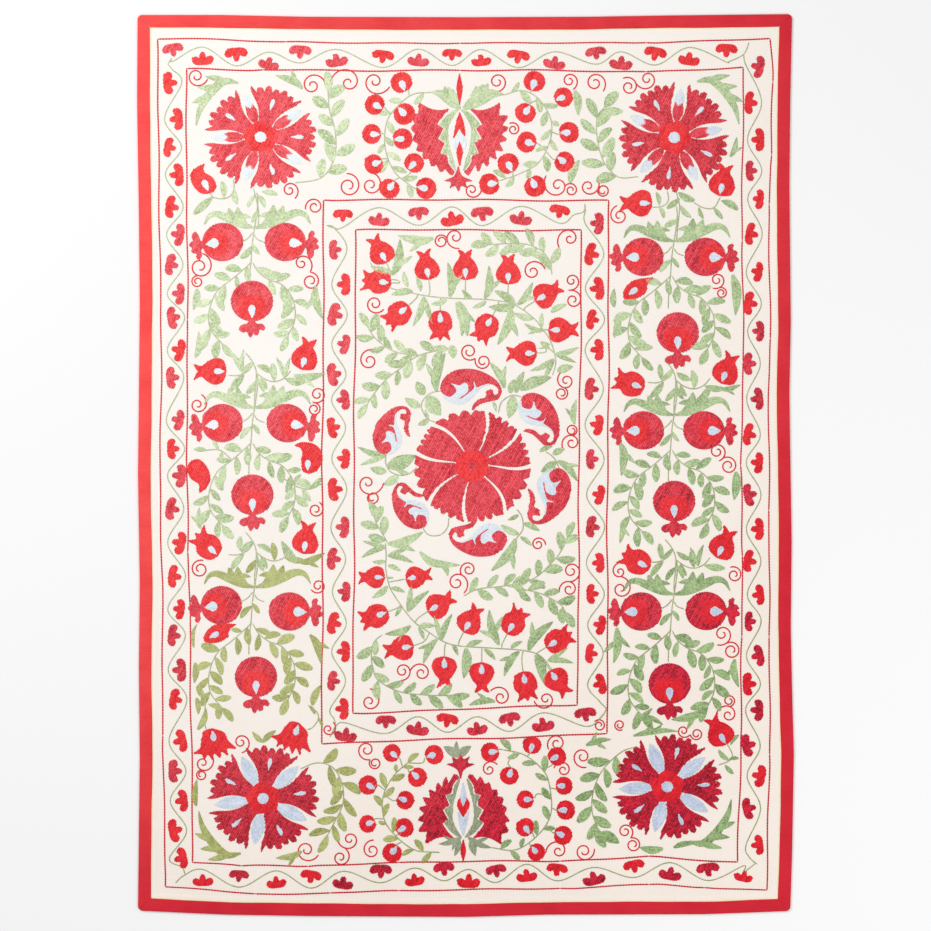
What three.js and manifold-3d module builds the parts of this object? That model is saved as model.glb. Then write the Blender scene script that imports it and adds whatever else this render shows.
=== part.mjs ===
// A suzani: a large embroidered hanging of cream cotton, bound all round with red cotton.
// Millimetres, +Z up. It lies flat, face up: +X is its right side and +Y its top edge.
// The origin is under the middle of the hanging, on the surface that it lies on.
import * as THREE from 'three';
import { mergeVertices } from 'three/addons/utils/BufferGeometryUtils.js';
import Module from 'manifold-3d';

const wasm = await Module();
wasm.setup();

// ---------------------------------------------------------------- driving dimensions

const HALF_WIDTH = 729; // of the bound hanging, at its widest
const HALF_LENGTH = 1002;
const CLOTH_THICKNESS = 1.6; // ground cloth with its backing stitches
const RELIEF = 0.8; // how far the couched thread stands above the cloth
const RELIEF_ROOT = 0.6; // how deep a raised motif is sunk into the cloth
const GAP = 0.3; // between two pieces

const BINDING_WIDTH = 28; // seen on the face, fold to inner edge
const BINDING_THICKNESS = 1; // one layer of the folded strip
const CORNER_RADIUS = 10;
const HEM_THICKNESS = 1; // the ground's edge, pressed thin inside the binding
const HEM_OVERLAP = 12; // how far the hem lies over the ground
const HEM_CLEARANCE = 5; // from the outside of the fold to the edge of the hem
const HEM_CUT = 4; // taken off the corners of the hem
const UNDER_CLEARANCE = 1; // from the binding's under layer to the full thickness of the ground

const EDGE_FADE = 90; // how far in from an edge its unevenness is felt
const LINE_WIDTH = 3.4; // of a frame line, one row of chain stitch
const CREASE_HEIGHT = 0.6;

const COLOURS = { ground: 0xf6ebe0, binding: 0xc9283a };

// ---------------------------------------------------------------- the uneven edges

// How far each edge of the hanging strays from a true rectangle.
const EDGES = {
  left: [
    { at: -1002, off: 2 }, { at: -820, off: 4 }, { at: -650, off: 6 }, { at: -450, off: 4 },
    { at: -260, off: 6 }, { at: -20, off: 2 }, { at: 150, off: 4 }, { at: 360, off: 6 },
    { at: 560, off: 4 }, { at: 800, off: 0 }, { at: 1002, off: 1 },
  ],
  right: [
    { at: -1002, off: -8 }, { at: -860, off: -4 }, { at: -640, off: 0 }, { at: -500, off: -4 },
    { at: -360, off: -7 }, { at: -170, off: -5 }, { at: 20, off: -8 }, { at: 160, off: -10 },
    { at: 320, off: -7 }, { at: 620, off: -10 }, { at: 820, off: -8 }, { at: 1002, off: -4 },
  ],
  top: [
    { at: -729, off: -2 }, { at: -540, off: -2 }, { at: -350, off: -6 }, { at: 0, off: -7 },
    { at: 270, off: -6 }, { at: 450, off: -3 }, { at: 729, off: 0 },
  ],
  bottom: [
    { at: -729, off: 14 }, { at: -620, off: 9 }, { at: -530, off: 5 }, { at: -350, off: 2 },
    { at: 0, off: 0 }, { at: 180, off: 5 }, { at: 530, off: 6 }, { at: 729, off: 13 },
  ],
};

// Value of an edge table at a place along it, in a straight line from row to row.
function along(rows, at) {
  const next = rows.findIndex((row) => at <= row.at);
  if (next === 0) return rows[0].off;
  if (next < 0) return rows[rows.length - 1].off;
  const from = rows[next - 1];
  const to = rows[next];
  return THREE.MathUtils.mapLinear(at, from.at, to.at, from.off, to.off);
}

// Moves every point of a piece sideways by the unevenness of the edges near it.
function makeUneven(geometry) {
  const position = geometry.attributes.position;
  const fade = (distance) => Math.max(0, 1 - Math.abs(distance) / EDGE_FADE);
  for (let i = 0; i < position.count; i += 1) {
    const x = position.getX(i);
    const y = position.getY(i);
    const left = along(EDGES.left, y) * fade(x + HALF_WIDTH);
    const right = along(EDGES.right, y) * fade(HALF_WIDTH - x);
    const top = along(EDGES.top, x) * fade(HALF_LENGTH - y);
    const bottom = along(EDGES.bottom, x) * fade(y + HALF_LENGTH);
    position.setXY(i, x + left + right, y + top + bottom);
  }
  return geometry;
}

// ---------------------------------------------------------------- solids

// A closed mesh, moved with the uneven edges, as a solid that can be joined to others.
function toSolid(geometry) {
  const bare = makeUneven(geometry.clone());
  bare.deleteAttribute('normal');
  bare.deleteAttribute('uv');
  const merged = mergeVertices(bare, 1e-4);
  const vertProperties = new Float32Array(merged.attributes.position.array);
  const triVerts = new Uint32Array(merged.index.array);
  return new wasm.Manifold(new wasm.Mesh({ numProp: 3, vertProperties, triVerts }));
}

function toGeometry(solid) {
  const mesh = solid.getMesh();
  const geometry = new THREE.BufferGeometry();
  geometry.setAttribute('position', new THREE.BufferAttribute(mesh.vertProperties, 3));
  geometry.setIndex(new THREE.BufferAttribute(mesh.triVerts, 1));
  return geometry;
}

function toShape(points) {
  return new THREE.Shape(points.map((point) => new THREE.Vector2(point.x, point.y)));
}

// A flat layer of cloth or stitching between two heights.
function layer(shape, bottom, top) {
  const geometry = new THREE.ExtrudeGeometry(shape, {
    depth: top - bottom,
    bevelEnabled: false,
    steps: 1,
  });
  geometry.translate(0, 0, bottom);
  return geometry;
}

function polar(radius, angle) {
  return { x: radius * Math.cos(angle), y: radius * Math.sin(angle) };
}

const radians = (degrees) => THREE.MathUtils.degToRad(degrees);

function mirrored(points) {
  return points.map((point) => ({ x: -point.x, y: point.y })).reverse();
}

// ---------------------------------------------------------------- motif outlines

// Each function gives the outlines of one motif about its own middle, with +Y its head.

// A strip that follows a spine and swells and tapers along it.
function ribbon(spine, steps) {
  const path = new THREE.CatmullRomCurve3(
    spine.map((row) => new THREE.Vector3(row.x, row.y, row.half)),
    false,
    'centripetal',
  );
  const left = [];
  const right = [];
  for (let i = 0; i <= steps; i += 1) {
    const here = path.getPoint(i / steps);
    const ahead = path.getTangent(i / steps).setZ(0).normalize();
    const half = Math.max(here.z, 0.4);
    left.push({ x: here.x - ahead.y * half, y: here.y + ahead.x * half });
    right.push({ x: here.x + ahead.y * half, y: here.y - ahead.x * half });
  }
  return [...left, ...right.reverse()];
}

const ROSETTE = { radius: 122, hub: 34, fans: 5, slitHalf: 13, scallops: 4, scallopDepth: 12 };

// One fan petal of a corner rosette, centred on a direction.
function fanPetal(turn) {
  const { radius, hub, fans, slitHalf, scallops, scallopDepth } = ROSETTE;
  const halfPitch = Math.PI / fans;
  const sideStops = [0.35, 0.75];
  const side = sideStops.map((t) => {
    const at = THREE.MathUtils.lerp(hub, radius, t);
    return { at, angle: halfPitch - (slitHalf * Math.sin(Math.PI * t)) / at };
  });
  const tip = halfPitch - radians(2.5);
  const points = [polar(hub * 0.7, turn - halfPitch * 0.7)];
  side.forEach((row) => points.push(polar(row.at, turn - row.angle)));
  points.push(polar(radius, turn - tip));
  for (let i = 0; i < scallops; i += 1) {
    const step = (2 * tip) / (scallops + 1);
    const middle = turn - tip + step * (i + 1);
    points.push(polar(radius - scallopDepth, middle - step / 2));
    points.push(polar(radius, middle));
  }
  points.push(polar(radius - scallopDepth, turn + tip - tip / (scallops + 1)));
  points.push(polar(radius, turn + tip));
  side.reverse().forEach((row) => points.push(polar(row.at, turn + row.angle)));
  points.push(polar(hub * 0.7, turn + halfPitch * 0.7));
  return points;
}

// The slim petal in a slit between two fans: its root, its widest point and its tip.
const SLIT_PETAL = { root: 37, widest: 68, half: 8, tip: 113 };

function slitPetal(turn) {
  const { root, widest, half, tip } = SLIT_PETAL;
  const spread = Math.atan2(half, widest);
  return [
    polar(root, turn), polar(widest, turn - spread), polar(tip, turn),
    polar(widest, turn + spread),
  ];
}

function disc(radius, sides) {
  return Array.from({ length: sides }, (_, i) => polar(radius, (2 * Math.PI * i) / sides));
}

function cornerRosette() {
  const pitch = (2 * Math.PI) / ROSETTE.fans;
  const outlines = [disc(ROSETTE.hub, 10)];
  for (let i = 0; i < ROSETTE.fans; i += 1) {
    outlines.push(fanPetal(Math.PI / 2 + pitch * i));
    outlines.push(slitPetal(Math.PI / 2 + pitch * (i + 0.5)));
  }
  return outlines;
}

const PINWHEEL = { radius: 131, hub: 42, slitHalf: 4.5, scallops: 4, scallopDepth: 13 };

// Where each slit of the middle rosette starts at the hub and where it ends at the rim.
const SLITS = [
  { inner: 2, outer: 0 }, { inner: 28, outer: 38 }, { inner: 66, outer: 76 },
  { inner: 118, outer: 133 }, { inner: 168, outer: 166 }, { inner: 210, outer: 222 },
  { inner: 256, outer: 264 }, { inner: 318, outer: 304 },
];

// One petal of the middle rosette, between two neighbouring slits.
function pinwheelPetal(from, to) {
  const { radius, hub, slitHalf, scallops, scallopDepth } = PINWHEEL;
  const stops = [0, 0.5, 1];
  const edge = (slit, sign) => stops.map((t) => {
    const at = THREE.MathUtils.lerp(hub * 0.9, radius, t);
    const angle = radians(THREE.MathUtils.lerp(slit.inner, slit.outer, t));
    return polar(at, angle + (sign * slitHalf) / at);
  });
  const start = radians(from.outer) + slitHalf / radius;
  const end = radians(to.outer) - slitHalf / radius;
  const step = (end - start) / (scallops + 1);
  const rim = [];
  for (let i = 0; i < scallops; i += 1) {
    rim.push(polar(radius - scallopDepth, start + step * (i + 0.5)));
    rim.push(polar(radius, start + step * (i + 1)));
  }
  rim.push(polar(radius - scallopDepth, start + step * (scallops + 0.5)));
  return [...edge(from, 1), ...rim, ...edge(to, -1).reverse()];
}

function middleRosette() {
  const outlines = [disc(PINWHEEL.hub, 12)];
  SLITS.forEach((slit, i) => {
    const next = SLITS[(i + 1) % SLITS.length];
    const turn = i + 1 === SLITS.length ? 360 : 0;
    outlines.push(pinwheelPetal(slit, { inner: next.inner + turn, outer: next.outer + turn }));
  });
  return outlines;
}

// Paisley: a round head on the left, arching over to a curl and a thin tail.
const PAISLEY_SPINE = [
  { x: -62, y: -6, half: 4 }, { x: -44, y: -3, half: 27 }, { x: -14, y: 2, half: 34 },
  { x: 16, y: 6, half: 28 }, { x: 44, y: 3, half: 16 }, { x: 59, y: -12, half: 7 },
  { x: 38, y: -25, half: 6 }, { x: 4, y: -48, half: 0 },
];

function paisley() {
  return [ribbon(PAISLEY_SPINE, 9)];
}

// Pomegranate: a round fruit whose crown opens at +Y.
const POMEGRANATE = { radius: 46, sides: 11, neck: 34 };
const CROWN = [
  { x: 26, y: 66 }, { x: 11, y: 58 }, { x: 0, y: 76 }, { x: -11, y: 58 }, { x: -26, y: 66 },
];

function pomegranate() {
  const { radius, sides, neck } = POMEGRANATE;
  const start = 90 + neck / 2;
  const body = Array.from({ length: sides }, (_, i) => (
    polar(radius, radians(start + ((360 - neck) * i) / (sides - 1)))
  ));
  return [[...body, ...CROWN]];
}

// Tulip: a round foot and three pointed petals.
const TULIP_HALF = [
  { x: 0, y: -33 }, { x: 19, y: -24 }, { x: 27, y: -2 }, { x: 21, y: 33 }, { x: 9, y: 14 },
];

function tulip() {
  return [[...TULIP_HALF, { x: 0, y: 28 }, ...mirrored(TULIP_HALF).slice(0, -1)]];
}

// Bud: a fat comma with a pointed end.
const BUD_SPINE = [
  { x: 4, y: -36, half: 3 }, { x: 2, y: -20, half: 19 }, { x: 0, y: 6, half: 17 },
  { x: -14, y: 38, half: 0 },
];

function bud() {
  return [ribbon(BUD_SPINE, 4)];
}

function fruit() {
  return [disc(20, 6)];
}

// Half of the great palmette, its fan opening downwards on either side of a lens.
const PALMETTE_HALF = [
  { x: 16, y: 62 }, { x: 42, y: 26 }, { x: 38, y: -22 }, { x: 10, y: -70 }, { x: 42, y: -76 },
  { x: 52, y: -58 }, { x: 76, y: -60 }, { x: 80, y: -36 }, { x: 101, y: -26 },
  { x: 96, y: -4 }, { x: 111, y: 14 }, { x: 98, y: 24 }, { x: 108, y: 48 }, { x: 92, y: 52 },
  { x: 82, y: 86 }, { x: 48, y: 68 },
];
const PALMETTE_DIAMOND = [{ x: 0, y: 66 }, { x: -15, y: 16 }, { x: 0, y: -58 }, { x: 15, y: 16 }];
const PALMETTE_SPINDLE = [{ x: 0, y: 146 }, { x: -6, y: 122 }, { x: 0, y: 78 }, { x: 6, y: 122 }];

function palmette() {
  return [
    PALMETTE_HALF,
    mirrored(PALMETTE_HALF),
    PALMETTE_DIAMOND,
    PALMETTE_SPINDLE,
  ];
}

// Three-lobed blossom of the border vines.
const BLOSSOM_HALF = [{ x: 6, y: -11 }, { x: 22, y: -1 }];

function blossom() {
  return [[...BLOSSOM_HALF, { x: 0, y: 13 }, ...mirrored(BLOSSOM_HALF)]];
}

// Long toothed leaf, from its stalk at the origin up and over to the right.
const ACANTHUS_SPINE = [
  { x: 0, y: 0, half: 2 }, { x: 30, y: 24, half: 13 }, { x: 66, y: 38, half: 14 },
  { x: 104, y: 22, half: 0 },
];

function acanthus() {
  return [ribbon(ACANTHUS_SPINE, 4)];
}

// ---------------------------------------------------------------- where the motifs lie

// x and y are the motif's middle; turn is in degrees, anticlockwise from head up.
const CORNER_ROSETTES = [
  { x: -455, y: 726, turn: -18 }, { x: 464, y: 729, turn: -44 },
  { x: -449, y: -738, turn: -10 }, { x: 447, y: -712, turn: -15 },
];
const MIDDLE_ROSETTE = [{ x: 14, y: 0, turn: 0 }];
const PAISLEYS = [
  { x: 12, y: 179, turn: 0 }, { x: 165, y: 111, turn: -55 }, { x: 196, y: -66, turn: -110 },
  { x: 29, y: -168, turn: 180 }, { x: -120, y: -89, turn: 125 }, { x: -161, y: 80, turn: 75 },
];
const PALMETTES = [{ x: -13, y: 721, turn: 0 }, { x: 1, y: -763, turn: 180 }];

const POMEGRANATES = [
  { x: -539, y: 496, turn: 90 }, { x: -400, y: 496, turn: -90 }, { x: -474, y: 365, turn: 180 },
  { x: -540, y: 94, turn: 90 }, { x: -396, y: 94, turn: -90 }, { x: -473, y: -65, turn: 180 },
  { x: -542, y: -310, turn: 90 }, { x: -391, y: -324, turn: -90 },
  { x: -465, y: -469, turn: 180 },
  { x: 394, y: 463, turn: 90 }, { x: 532, y: 463, turn: -90 }, { x: 471, y: 295, turn: 180 },
  { x: 395, y: 78, turn: 90 }, { x: 529, y: 78, turn: -90 }, { x: 463, y: -79, turn: 180 },
  { x: 390, y: -324, turn: 90 }, { x: 534, y: -323, turn: -90 }, { x: 453, y: -484, turn: 180 },
];

const SIDE_TULIPS = [
  { x: -565, y: 209, turn: 90 }, { x: -355, y: 245, turn: -40 }, { x: -573, y: -177, turn: 45 },
  { x: -354, y: -162, turn: 0 }, { x: -561, y: -615, turn: 120 }, { x: -374, y: -606, turn: 170 },
  { x: 380, y: 582, turn: 90 }, { x: 572, y: 633, turn: 0 }, { x: 365, y: 182, turn: 90 },
  { x: 583, y: 214, turn: -45 }, { x: 379, y: -212, turn: 70 }, { x: 573, y: -174, turn: -40 },
  { x: 565, y: -590, turn: 0 },
];
const BUDS = [
  { x: -582, y: 633, turn: 20 }, { x: -592, y: -15, turn: 10 }, { x: -349, y: 16, turn: 15 },
  { x: -555, y: -374, turn: -60 }, { x: 373, y: 393, turn: -20 },
];
const FIELD_TULIPS = [
  { x: -194, y: 478, turn: 45 }, { x: -200, y: 406, turn: 80 }, { x: -150, y: 335, turn: 130 },
  { x: -87, y: 444, turn: 10 }, { x: 0, y: 444, turn: 0 }, { x: 95, y: 434, turn: 0 },
  { x: 182, y: 381, turn: -60 }, { x: -56, y: 313, turn: 180 }, { x: 45, y: 306, turn: 150 },
  { x: 216, y: 301, turn: -90 }, { x: 126, y: 249, turn: 90 },
  { x: -209, y: -249, turn: 90 }, { x: -106, y: -247, turn: -80 },
  { x: -201, y: -335, turn: 110 }, { x: -56, y: -308, turn: -60 }, { x: 12, y: -342, turn: -30 },
  { x: 108, y: -347, turn: -30 }, { x: 206, y: -388, turn: -60 }, { x: -147, y: -406, turn: 100 },
  { x: -47, y: -456, turn: 180 }, { x: 36, y: -469, turn: 180 }, { x: 133, y: -488, turn: 190 },
  { x: 206, y: -481, turn: 215 },
];

const FRUITS = [
  { x: -142, y: 850 }, { x: -201, y: 801 }, { x: -136, y: 780 }, { x: -208, y: 736 },
  { x: -140, y: 725 }, { x: -203, y: 669 }, { x: -114, y: 671 }, { x: -169, y: 615 },
  { x: -88, y: 615 }, { x: 153, y: 852 }, { x: 217, y: 817 }, { x: 133, y: 783 },
  { x: 229, y: 739 }, { x: 136, y: 718 }, { x: 219, y: 674 }, { x: 95, y: 670 },
  { x: 154, y: 620 }, { x: 53, y: 625 }, { x: -163, y: -638 }, { x: -70, y: -642 },
  { x: -216, y: -709 }, { x: -107, y: -692 }, { x: -134, y: -743 }, { x: -217, y: -795 },
  { x: -136, y: -804 }, { x: -163, y: -859 }, { x: 55, y: -636 }, { x: 148, y: -621 },
  { x: 203, y: -646 }, { x: 97, y: -688 }, { x: 218, y: -711 }, { x: 133, y: -741 },
  { x: 222, y: -765 }, { x: 133, y: -803 }, { x: 216, y: -821 }, { x: 157, y: -858 },
];

// Crossing points of the side columns, where a pair of long leaves springs from the stem.
const LEAF_PAIRS = [
  { x: -468, y: 528 }, { x: -468, y: 128 }, { x: -468, y: -270 },
  { x: 463, y: 498 }, { x: 463, y: 112 }, { x: 463, y: -286 },
];

// The four stitched frames, and how far and how often their lines wander.
const FRAMES = [
  { left: -676, right: 674, top: 944, bottom: -942, wander: 4, waves: 5 },
  { left: -612, right: 610, top: 881, bottom: -881, wander: 3, waves: 7 },
  { left: -316, right: 319, top: 589, bottom: -606, wander: 3, waves: 4 },
  { left: -246, right: 254, top: 523, bottom: -540, wander: 3, waves: 3 },
];

// Runs of border blossoms. In each run they stand in turn on the outer and the inner side
// of the vine, with their backs to the frame lines. Facing is the turn of the run.
const BLOSSOM_RUNS = [
  { count: 17, from: { x: -650, y: 912 }, to: { x: 579, y: 913 }, sway: 11, facing: 0 },
  { count: 17, from: { x: -583, y: -915 }, to: { x: 618, y: -906 }, sway: 10, facing: 180 },
  { count: 26, from: { x: -650, y: 849 }, to: { x: -634, y: -872 }, sway: 9, facing: 90 },
  { count: 25, from: { x: 645, y: 885 }, to: { x: 643, y: -842 }, sway: 9, facing: -90 },
  { count: 7, from: { x: -272, y: 551 }, to: { x: 209, y: 559 }, sway: 6, facing: 0 },
  { count: 7, from: { x: -266, y: -583 }, to: { x: 172, y: -580 }, sway: 8, facing: 180 },
  { count: 14, from: { x: -281, y: 479 }, to: { x: -279, y: -540 }, sway: 9, facing: 90 },
  { count: 16, from: { x: 291, y: 537 }, to: { x: 281, y: -552 }, sway: 9, facing: -90 },
];

// Creases left by folding the hanging: long soft ridges, straight across the cloth.
const CREASES = [
  { x: 0, y: -34, length: 1360, turn: 0, width: 26 },
  { x: 60, y: -498, length: 1180, turn: 0.3, width: 20 },
  { x: -3, y: 40, length: 1760, turn: 90, width: 20 },
];

// ---------------------------------------------------------------- the raised work

// Raises a motif's outlines out of the cloth at each place in a table.
function raisedMotifs(outlines, places, mirror = false) {
  const solids = [];
  places.forEach((place) => {
    outlines.forEach((outline) => {
      const points = mirror ? mirrored(outline) : outline;
      const bottom = CLOTH_THICKNESS - RELIEF_ROOT;
      const geometry = layer(toShape(points), bottom, CLOTH_THICKNESS + RELIEF);
      geometry.rotateZ(radians(place.turn ?? 0));
      geometry.translate(place.x, place.y, 0);
      solids.push(toSolid(geometry));
    });
  });
  return solids;
}

// The line of one frame, which wanders a little as a hand-drawn line does.
function frameLoop(frame, offset) {
  const { left, right, top, bottom, wander, waves } = frame;
  const sway = (t) => wander * Math.sin(2 * Math.PI * waves * t + waves);
  const corners = [
    { x: left - offset, y: bottom - offset }, { x: right + offset, y: bottom - offset },
    { x: right + offset, y: top + offset }, { x: left - offset, y: top + offset },
  ];
  const stations = 4;
  const points = [];
  corners.forEach((from, i) => {
    const to = corners[(i + 1) % corners.length];
    for (let step = 0; step < stations; step += 1) {
      const t = step / stations;
      const push = step === 0 ? 0 : sway((i + t) / corners.length);
      const x = THREE.MathUtils.lerp(from.x, to.x, t);
      const y = THREE.MathUtils.lerp(from.y, to.y, t);
      points.push(i % 2 === 0 ? { x, y: y + push } : { x: x + push, y });
    }
  });
  return points;
}

function raisedFrames() {
  return FRAMES.map((frame) => {
    const shape = toShape(frameLoop(frame, LINE_WIDTH / 2));
    shape.holes.push(new THREE.Path(
      frameLoop(frame, -LINE_WIDTH / 2).map((point) => new THREE.Vector2(point.x, point.y)),
    ));
    return toSolid(layer(shape, CLOTH_THICKNESS - RELIEF_ROOT, CLOTH_THICKNESS + RELIEF));
  });
}

function raisedBlossoms() {
  const places = [];
  BLOSSOM_RUNS.forEach((run) => {
    for (let i = 0; i < run.count; i += 1) {
      const t = i / (run.count - 1);
      const outer = i % 2 === 0;
      const sway = polar(outer ? run.sway : -run.sway, radians(run.facing + 90));
      places.push({
        x: THREE.MathUtils.lerp(run.from.x, run.to.x, t) + sway.x,
        y: THREE.MathUtils.lerp(run.from.y, run.to.y, t) + sway.y,
        turn: run.facing + (outer ? 180 : 0),
      });
    }
  });
  return raisedMotifs(blossom(), places);
}

// A crease: a long low roof that runs out to nothing at both ends.
function raisedCreases() {
  return CREASES.map((crease) => {
    const half = crease.width / 2;
    const root = RELIEF_ROOT;
    const roof = new THREE.Shape([
      new THREE.Vector2(-half, -root),
      new THREE.Vector2(half, -root),
      new THREE.Vector2(0, CREASE_HEIGHT),
    ]);
    const geometry = new THREE.ExtrudeGeometry(roof, { depth: crease.length, bevelEnabled: false });
    geometry.translate(0, 0, -crease.length / 2);
    geometry.rotateX(Math.PI / 2);
    geometry.rotateZ(Math.PI / 2 + radians(crease.turn));
    geometry.translate(crease.x, crease.y, CLOTH_THICKNESS);
    return toSolid(geometry);
  });
}

// ---------------------------------------------------------------- ground cloth

// A rectangle this far in from the edge of the hanging, with a point at each row of the edges'
// tables; a corner cut takes its corners off.
function rectangle(inset, cut = 0) {
  const x = HALF_WIDTH - inset;
  const y = HALF_LENGTH - inset;
  const between = (rows, limit) => (
    [-limit, ...rows.map((row) => row.at).filter((at) => Math.abs(at) < limit), limit]
  );
  const points = [
    ...between(EDGES.bottom, x - cut).map((at) => ({ x: at, y: -y })),
    ...between(EDGES.right, y - cut).map((at) => ({ x, y: at })),
    ...between(EDGES.top, x - cut).reverse().map((at) => ({ x: at, y })),
    ...between(EDGES.left, y - cut).reverse().map((at) => ({ x: -x, y: at })),
  ];
  if (cut > 0) return points;
  return points.filter((point, i) => {
    const before = points[(i + points.length - 1) % points.length];
    return point.x !== before.x || point.y !== before.y;
  });
}

function groundCloth() {
  const edge = rectangle(BINDING_WIDTH + UNDER_CLEARANCE);
  const sheet = layer(toShape(edge), 0, CLOTH_THICKNESS);
  const hem = toShape(rectangle(HEM_CLEARANCE, HEM_CUT));
  const hole = rectangle(BINDING_WIDTH + HEM_OVERLAP);
  hem.holes.push(new THREE.Path(hole.map((point) => new THREE.Vector2(point.x, point.y))));
  const hemBottom = BINDING_THICKNESS + GAP;
  const hemSolid = toSolid(layer(hem, hemBottom, hemBottom + HEM_THICKNESS));
  const solids = [
    toSolid(sheet),
    hemSolid,
    ...raisedCreases(),
    ...raisedFrames(),
    ...raisedBlossoms(),
    ...raisedMotifs(cornerRosette(), CORNER_ROSETTES),
    ...raisedMotifs(middleRosette(), MIDDLE_ROSETTE),
    ...raisedMotifs(paisley(), PAISLEYS),
    ...raisedMotifs(palmette(), PALMETTES),
    ...raisedMotifs(pomegranate(), POMEGRANATES),
    ...raisedMotifs(tulip(), [...SIDE_TULIPS, ...FIELD_TULIPS]),
    ...raisedMotifs(bud(), BUDS),
    ...raisedMotifs(fruit(), FRUITS),
    ...raisedMotifs(acanthus(), LEAF_PAIRS),
    ...raisedMotifs(acanthus(), LEAF_PAIRS, true),
  ];
  const joined = solids.reduce((whole, solid) => whole.add(solid));
  return toGeometry(joined);
}

// ---------------------------------------------------------------- binding

// Section of the folded strip: inward is the depth from the fold, up is the height.
const BOUND_HEIGHT = 2 * (BINDING_THICKNESS + GAP) + HEM_THICKNESS;
const BINDING_SECTION = [
  { inward: BINDING_WIDTH, up: 0 },
  { inward: BINDING_WIDTH, up: BINDING_THICKNESS },
  { inward: BINDING_THICKNESS, up: BINDING_THICKNESS },
  { inward: BINDING_THICKNESS, up: BOUND_HEIGHT - BINDING_THICKNESS },
  { inward: BINDING_WIDTH, up: BOUND_HEIGHT - BINDING_THICKNESS },
  { inward: BINDING_WIDTH, up: BOUND_HEIGHT },
  { inward: 1.2, up: BOUND_HEIGHT },
  { inward: 0.3, up: BOUND_HEIGHT * 0.84 },
  { inward: 0, up: BOUND_HEIGHT / 2 },
  { inward: 0.3, up: BOUND_HEIGHT * 0.16 },
  { inward: 1.2, up: 0 },
];

// How far a rounded corner draws the fold in, at a distance along the edge.
function cornerDraw(at) {
  if (at >= CORNER_RADIUS) return 0;
  const rest = CORNER_RADIUS - at;
  return CORNER_RADIUS - Math.sqrt(CORNER_RADIUS * CORNER_RADIUS - rest * rest);
}

const MITRE_REACH = 60; // how far along the strip the mitre's slant dies away
const END_MARKS = [0, 2.5, 6, 11, MITRE_REACH]; // places along the strip near a mitre

// Where the mitre cuts a thread of the strip that lies this far inward.
function mitreStart(inward) {
  const r = CORNER_RADIUS;
  const start = inward < r ? r - (Math.sqrt(2 * r * r - inward * inward) - inward) / 2 : inward;
  return start + GAP;
}

// One side of the binding, along +X with its fold at y = 0, mitred at both ends.
function bindingStrip(length, bends) {
  const marks = [...END_MARKS, ...bends, ...END_MARKS.map((at) => length - at).reverse()];
  const points = [];
  marks.forEach((mark) => {
    const nearer = Math.min(mark, length - mark);
    BINDING_SECTION.forEach(({ inward, up }) => {
      const start = mitreStart(inward);
      const from = Math.min(nearer, MITRE_REACH) / MITRE_REACH;
      const pushed = nearer + (1 - from) * start;
      const at = mark * 2 < length ? pushed : length - pushed;
      points.push(at, inward + cornerDraw(pushed - GAP), up);
    });
  });
  const size = BINDING_SECTION.length;
  const index = [];
  for (let i = 0; i + 1 < marks.length; i += 1) {
    for (let j = 0; j < size; j += 1) {
      const a = i * size + j;
      const b = i * size + ((j + 1) % size);
      index.push(a, b, a + size, b, b + size, a + size);
    }
  }
  const flat = BINDING_SECTION.map(({ inward, up }) => new THREE.Vector2(inward, up));
  const last = (marks.length - 1) * size;
  THREE.ShapeUtils.triangulateShape(flat, []).forEach(([a, b, c]) => {
    index.push(a, c, b);
    index.push(last + a, last + b, last + c);
  });
  const geometry = new THREE.BufferGeometry();
  geometry.setAttribute('position', new THREE.Float32BufferAttribute(points, 3));
  geometry.setIndex(index);
  return geometry;
}

const SIDES = [
  { name: 'binding_bottom', half: HALF_WIDTH, edge: EDGES.bottom, turn: 0, x: -1, y: -1 },
  { name: 'binding_right', half: HALF_LENGTH, edge: EDGES.right, turn: 90, x: 1, y: -1 },
  { name: 'binding_top', half: HALF_WIDTH, edge: EDGES.top, turn: 180, x: 1, y: 1 },
  { name: 'binding_left', half: HALF_LENGTH, edge: EDGES.left, turn: 270, x: -1, y: 1 },
];

// The places along a side where its edge bends, measured from the side's start.
function bendsOf(side) {
  const backwards = side.turn >= 180;
  const inner = side.edge.map((row) => row.at).filter((at) => Math.abs(at) < side.half);
  const places = inner.map((at) => (backwards ? side.half - at : side.half + at));
  return backwards ? places.reverse() : places;
}

// ---------------------------------------------------------------- the hanging

const cottonGround = new THREE.MeshStandardMaterial({
  color: COLOURS.ground,
  roughness: 0.95,
  metalness: 0,
});
const cottonBinding = new THREE.MeshStandardMaterial({
  color: COLOURS.binding,
  roughness: 0.9,
  metalness: 0,
});

const suzani = new THREE.Group();

const ground = new THREE.Mesh(groundCloth(), cottonGround);
ground.name = 'ground_cloth';
suzani.add(ground);

SIDES.forEach((side) => {
  const geometry = bindingStrip(2 * side.half, bendsOf(side));
  geometry.rotateZ(radians(side.turn));
  geometry.translate(side.x * HALF_WIDTH, side.y * HALF_LENGTH, 0);
  const strip = new THREE.Mesh(makeUneven(geometry), cottonBinding);
  strip.name = side.name;
  suzani.add(strip);
});

export default suzani;
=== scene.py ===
"""A suzani: a large cream cotton hanging worked in couched thread and bound in red cotton.

Sizes and places are in millimetres unless a name says otherwise, on the part's own axes:
+X is the right side of the hanging, +Y its top edge and +Z up from the floor it lies on.
The tables of places hold what was read from the photograph, at 2.22 mm to a pixel, but
for the edges, which were measured there.
"""
import math

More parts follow.
